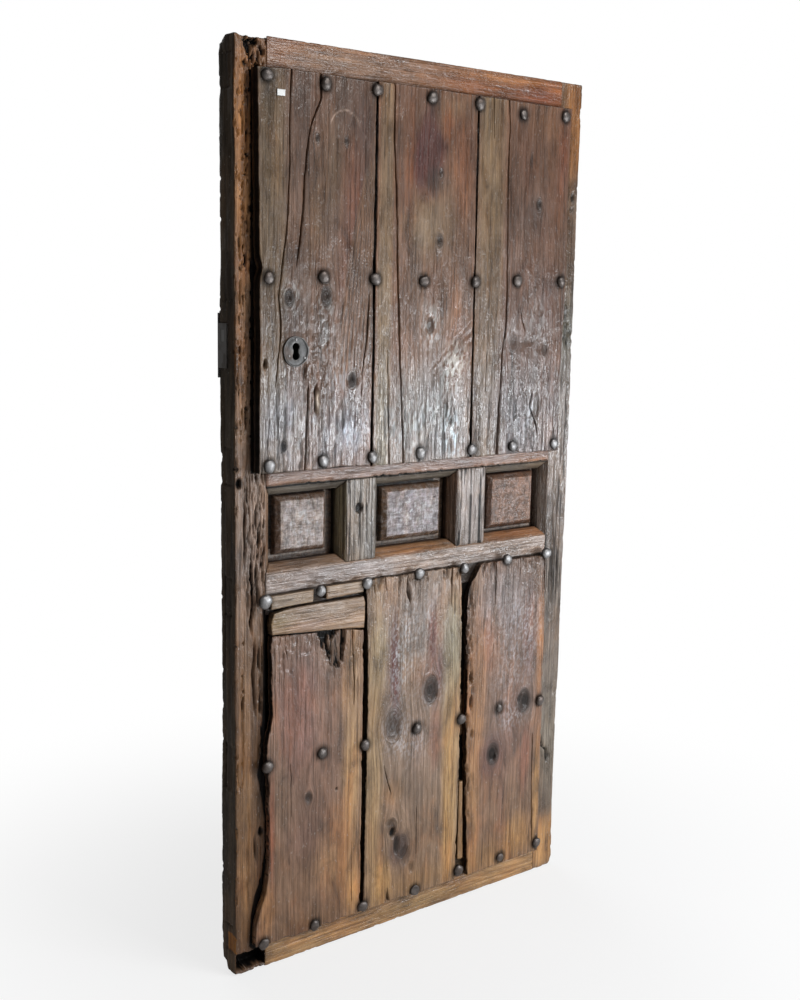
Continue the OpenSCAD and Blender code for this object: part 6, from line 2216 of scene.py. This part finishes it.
def mat_floor():
    """A pale floor that runs out into the white of the studio."""
    m = bpy.data.materials.new("studio_floor")
    m.use_nodes = True
    nt = m.node_tree
    bs = nt.nodes["Principled BSDF"]
    bs.inputs["Base Color"].default_value = (0.88, 0.88, 0.88, 1)
    bs.inputs["Roughness"].default_value = 0.9
    bs.inputs["Specular IOR Level"].default_value = 0.1
    out = nt.nodes["Material Output"]
    em = nt.nodes.new("ShaderNodeEmission")
    em.inputs[0].default_value = (1, 1, 1, 1)
    lp = nt.nodes.new("ShaderNodeLightPath")
    tc = nt.nodes.new("ShaderNodeTexCoord")
    ln = nt.nodes.new("ShaderNodeVectorMath")
    ln.operation = "LENGTH"
    mr = nt.nodes.new("ShaderNodeMapRange")
    mr.interpolation_type = "SMOOTHSTEP"
    mr.inputs["From Min"].default_value = 0.3
    mr.inputs["From Max"].default_value = 1.7
    mr.inputs["To Min"].default_value = 0.74
    mu = nt.nodes.new("ShaderNodeMath")
    mu.operation = "MULTIPLY"
    mx = nt.nodes.new("ShaderNodeMixShader")
    nt.links.new(tc.outputs["Object"], ln.inputs[0])
    nt.links.new(ln.outputs["Value"], mr.inputs["Value"])
    nt.links.new(mr.outputs[0], mu.inputs[0])
    nt.links.new(lp.outputs["Is Camera Ray"], mu.inputs[1])
    nt.links.new(mu.outputs[0], mx.inputs[0])
    nt.links.new(bs.outputs[0], mx.inputs[1])
    nt.links.new(em.outputs[0], mx.inputs[2])
    nt.links.new(mx.outputs[0], out.inputs[0])
    return m


me = bpy.data.meshes.new("floor")
S = 40.0
me.from_pydata([(-S, -S, -0.001), (S, -S, -0.001), (S, S, -0.001), (-S, S, -0.001)], [], [(0, 1, 2, 3)])
floor = bpy.data.objects.new("floor", me)
bpy.context.scene.collection.objects.link(floor)
floor.data.materials.append(mat_floor())

world = bpy.data.worlds.new("studio")
bpy.context.scene.world = world
world.use_nodes = True
wt = world.node_tree
wt.nodes["Background"].inputs[0].default_value = (1.0, 1.0, 1.0, 1)
wp = wt.nodes.new("ShaderNodeLightPath")
wm = wt.nodes.new("ShaderNodeMapRange")
wm.inputs["To Min"].default_value = 0.13
wm.inputs["To Max"].default_value = 1.0
wt.links.new(wp.outputs["Is Camera Ray"], wm.inputs["Value"])
wt.links.new(wm.outputs[0], wt.nodes["Background"].inputs[1])


def area(name, loc, target, size, power, color=(1, 1, 1)):
    l = bpy.data.lights.new(name, "AREA")
    l.shape = "RECTANGLE"
    l.size, l.size_y = size
    l.energy = power
    l.color = color
    o = bpy.data.objects.new(name, l)
    bpy.context.scene.collection.objects.link(o)
    o.location = loc
    o.rotation_euler = (Vector(target) - Vector(loc)).to_track_quat("-Z", "Y").to_euler()
    return o


area("key_right", (1.3, -3.4, 3.6), (0, 0, 1.1), (2.0, 1.4), 105)
area("gloss_box", (1.85, -2.35, 0.80), (0, 0, 1.15), (1.7, 0.62), 64, (0.90, 0.95, 1.0))
area("back_fill", (0.5, 4.0, 3.2), (0, 0, 1.0), (3.0, 2.0), 60)

# camera --------------------------------------------------------------------
AZ, EL, ROLL = math.radians(-38.269), math.radians(9.4785), math.radians(1.1032)
d = Vector((-math.sin(AZ) * math.cos(EL), math.cos(AZ) * math.cos(EL), -math.sin(EL)))
right = Vector((math.cos(AZ), math.sin(AZ), 0.0))
up = right.cross(d)
c_, s_ = math.cos(ROLL), math.sin(ROLL)
r2 = c_ * right + s_ * up
u2 = -s_ * right + c_ * up
cam_data = bpy.data.cameras.new("camera")
cam_data.sensor_fit = "AUTO"
cam_data.sensor_width = 36.0
cam_data.lens = 1289.57 * 36.0 / 1000.0
cam = bpy.data.objects.new("camera", cam_data)
bpy.context.scene.collection.objects.link(cam)
M = Matrix(((r2.x, u2.x, -d.x, -1.80416), (r2.y, u2.y, -d.y, -2.22209 - YC / 1000.0), (r2.z, u2.z, -d.z, 1.47760), (0, 0, 0, 1)))
cam.matrix_world = M
bpy.context.scene.camera = cam
bpy.context.scene.view_settings.view_transform = "Standard"
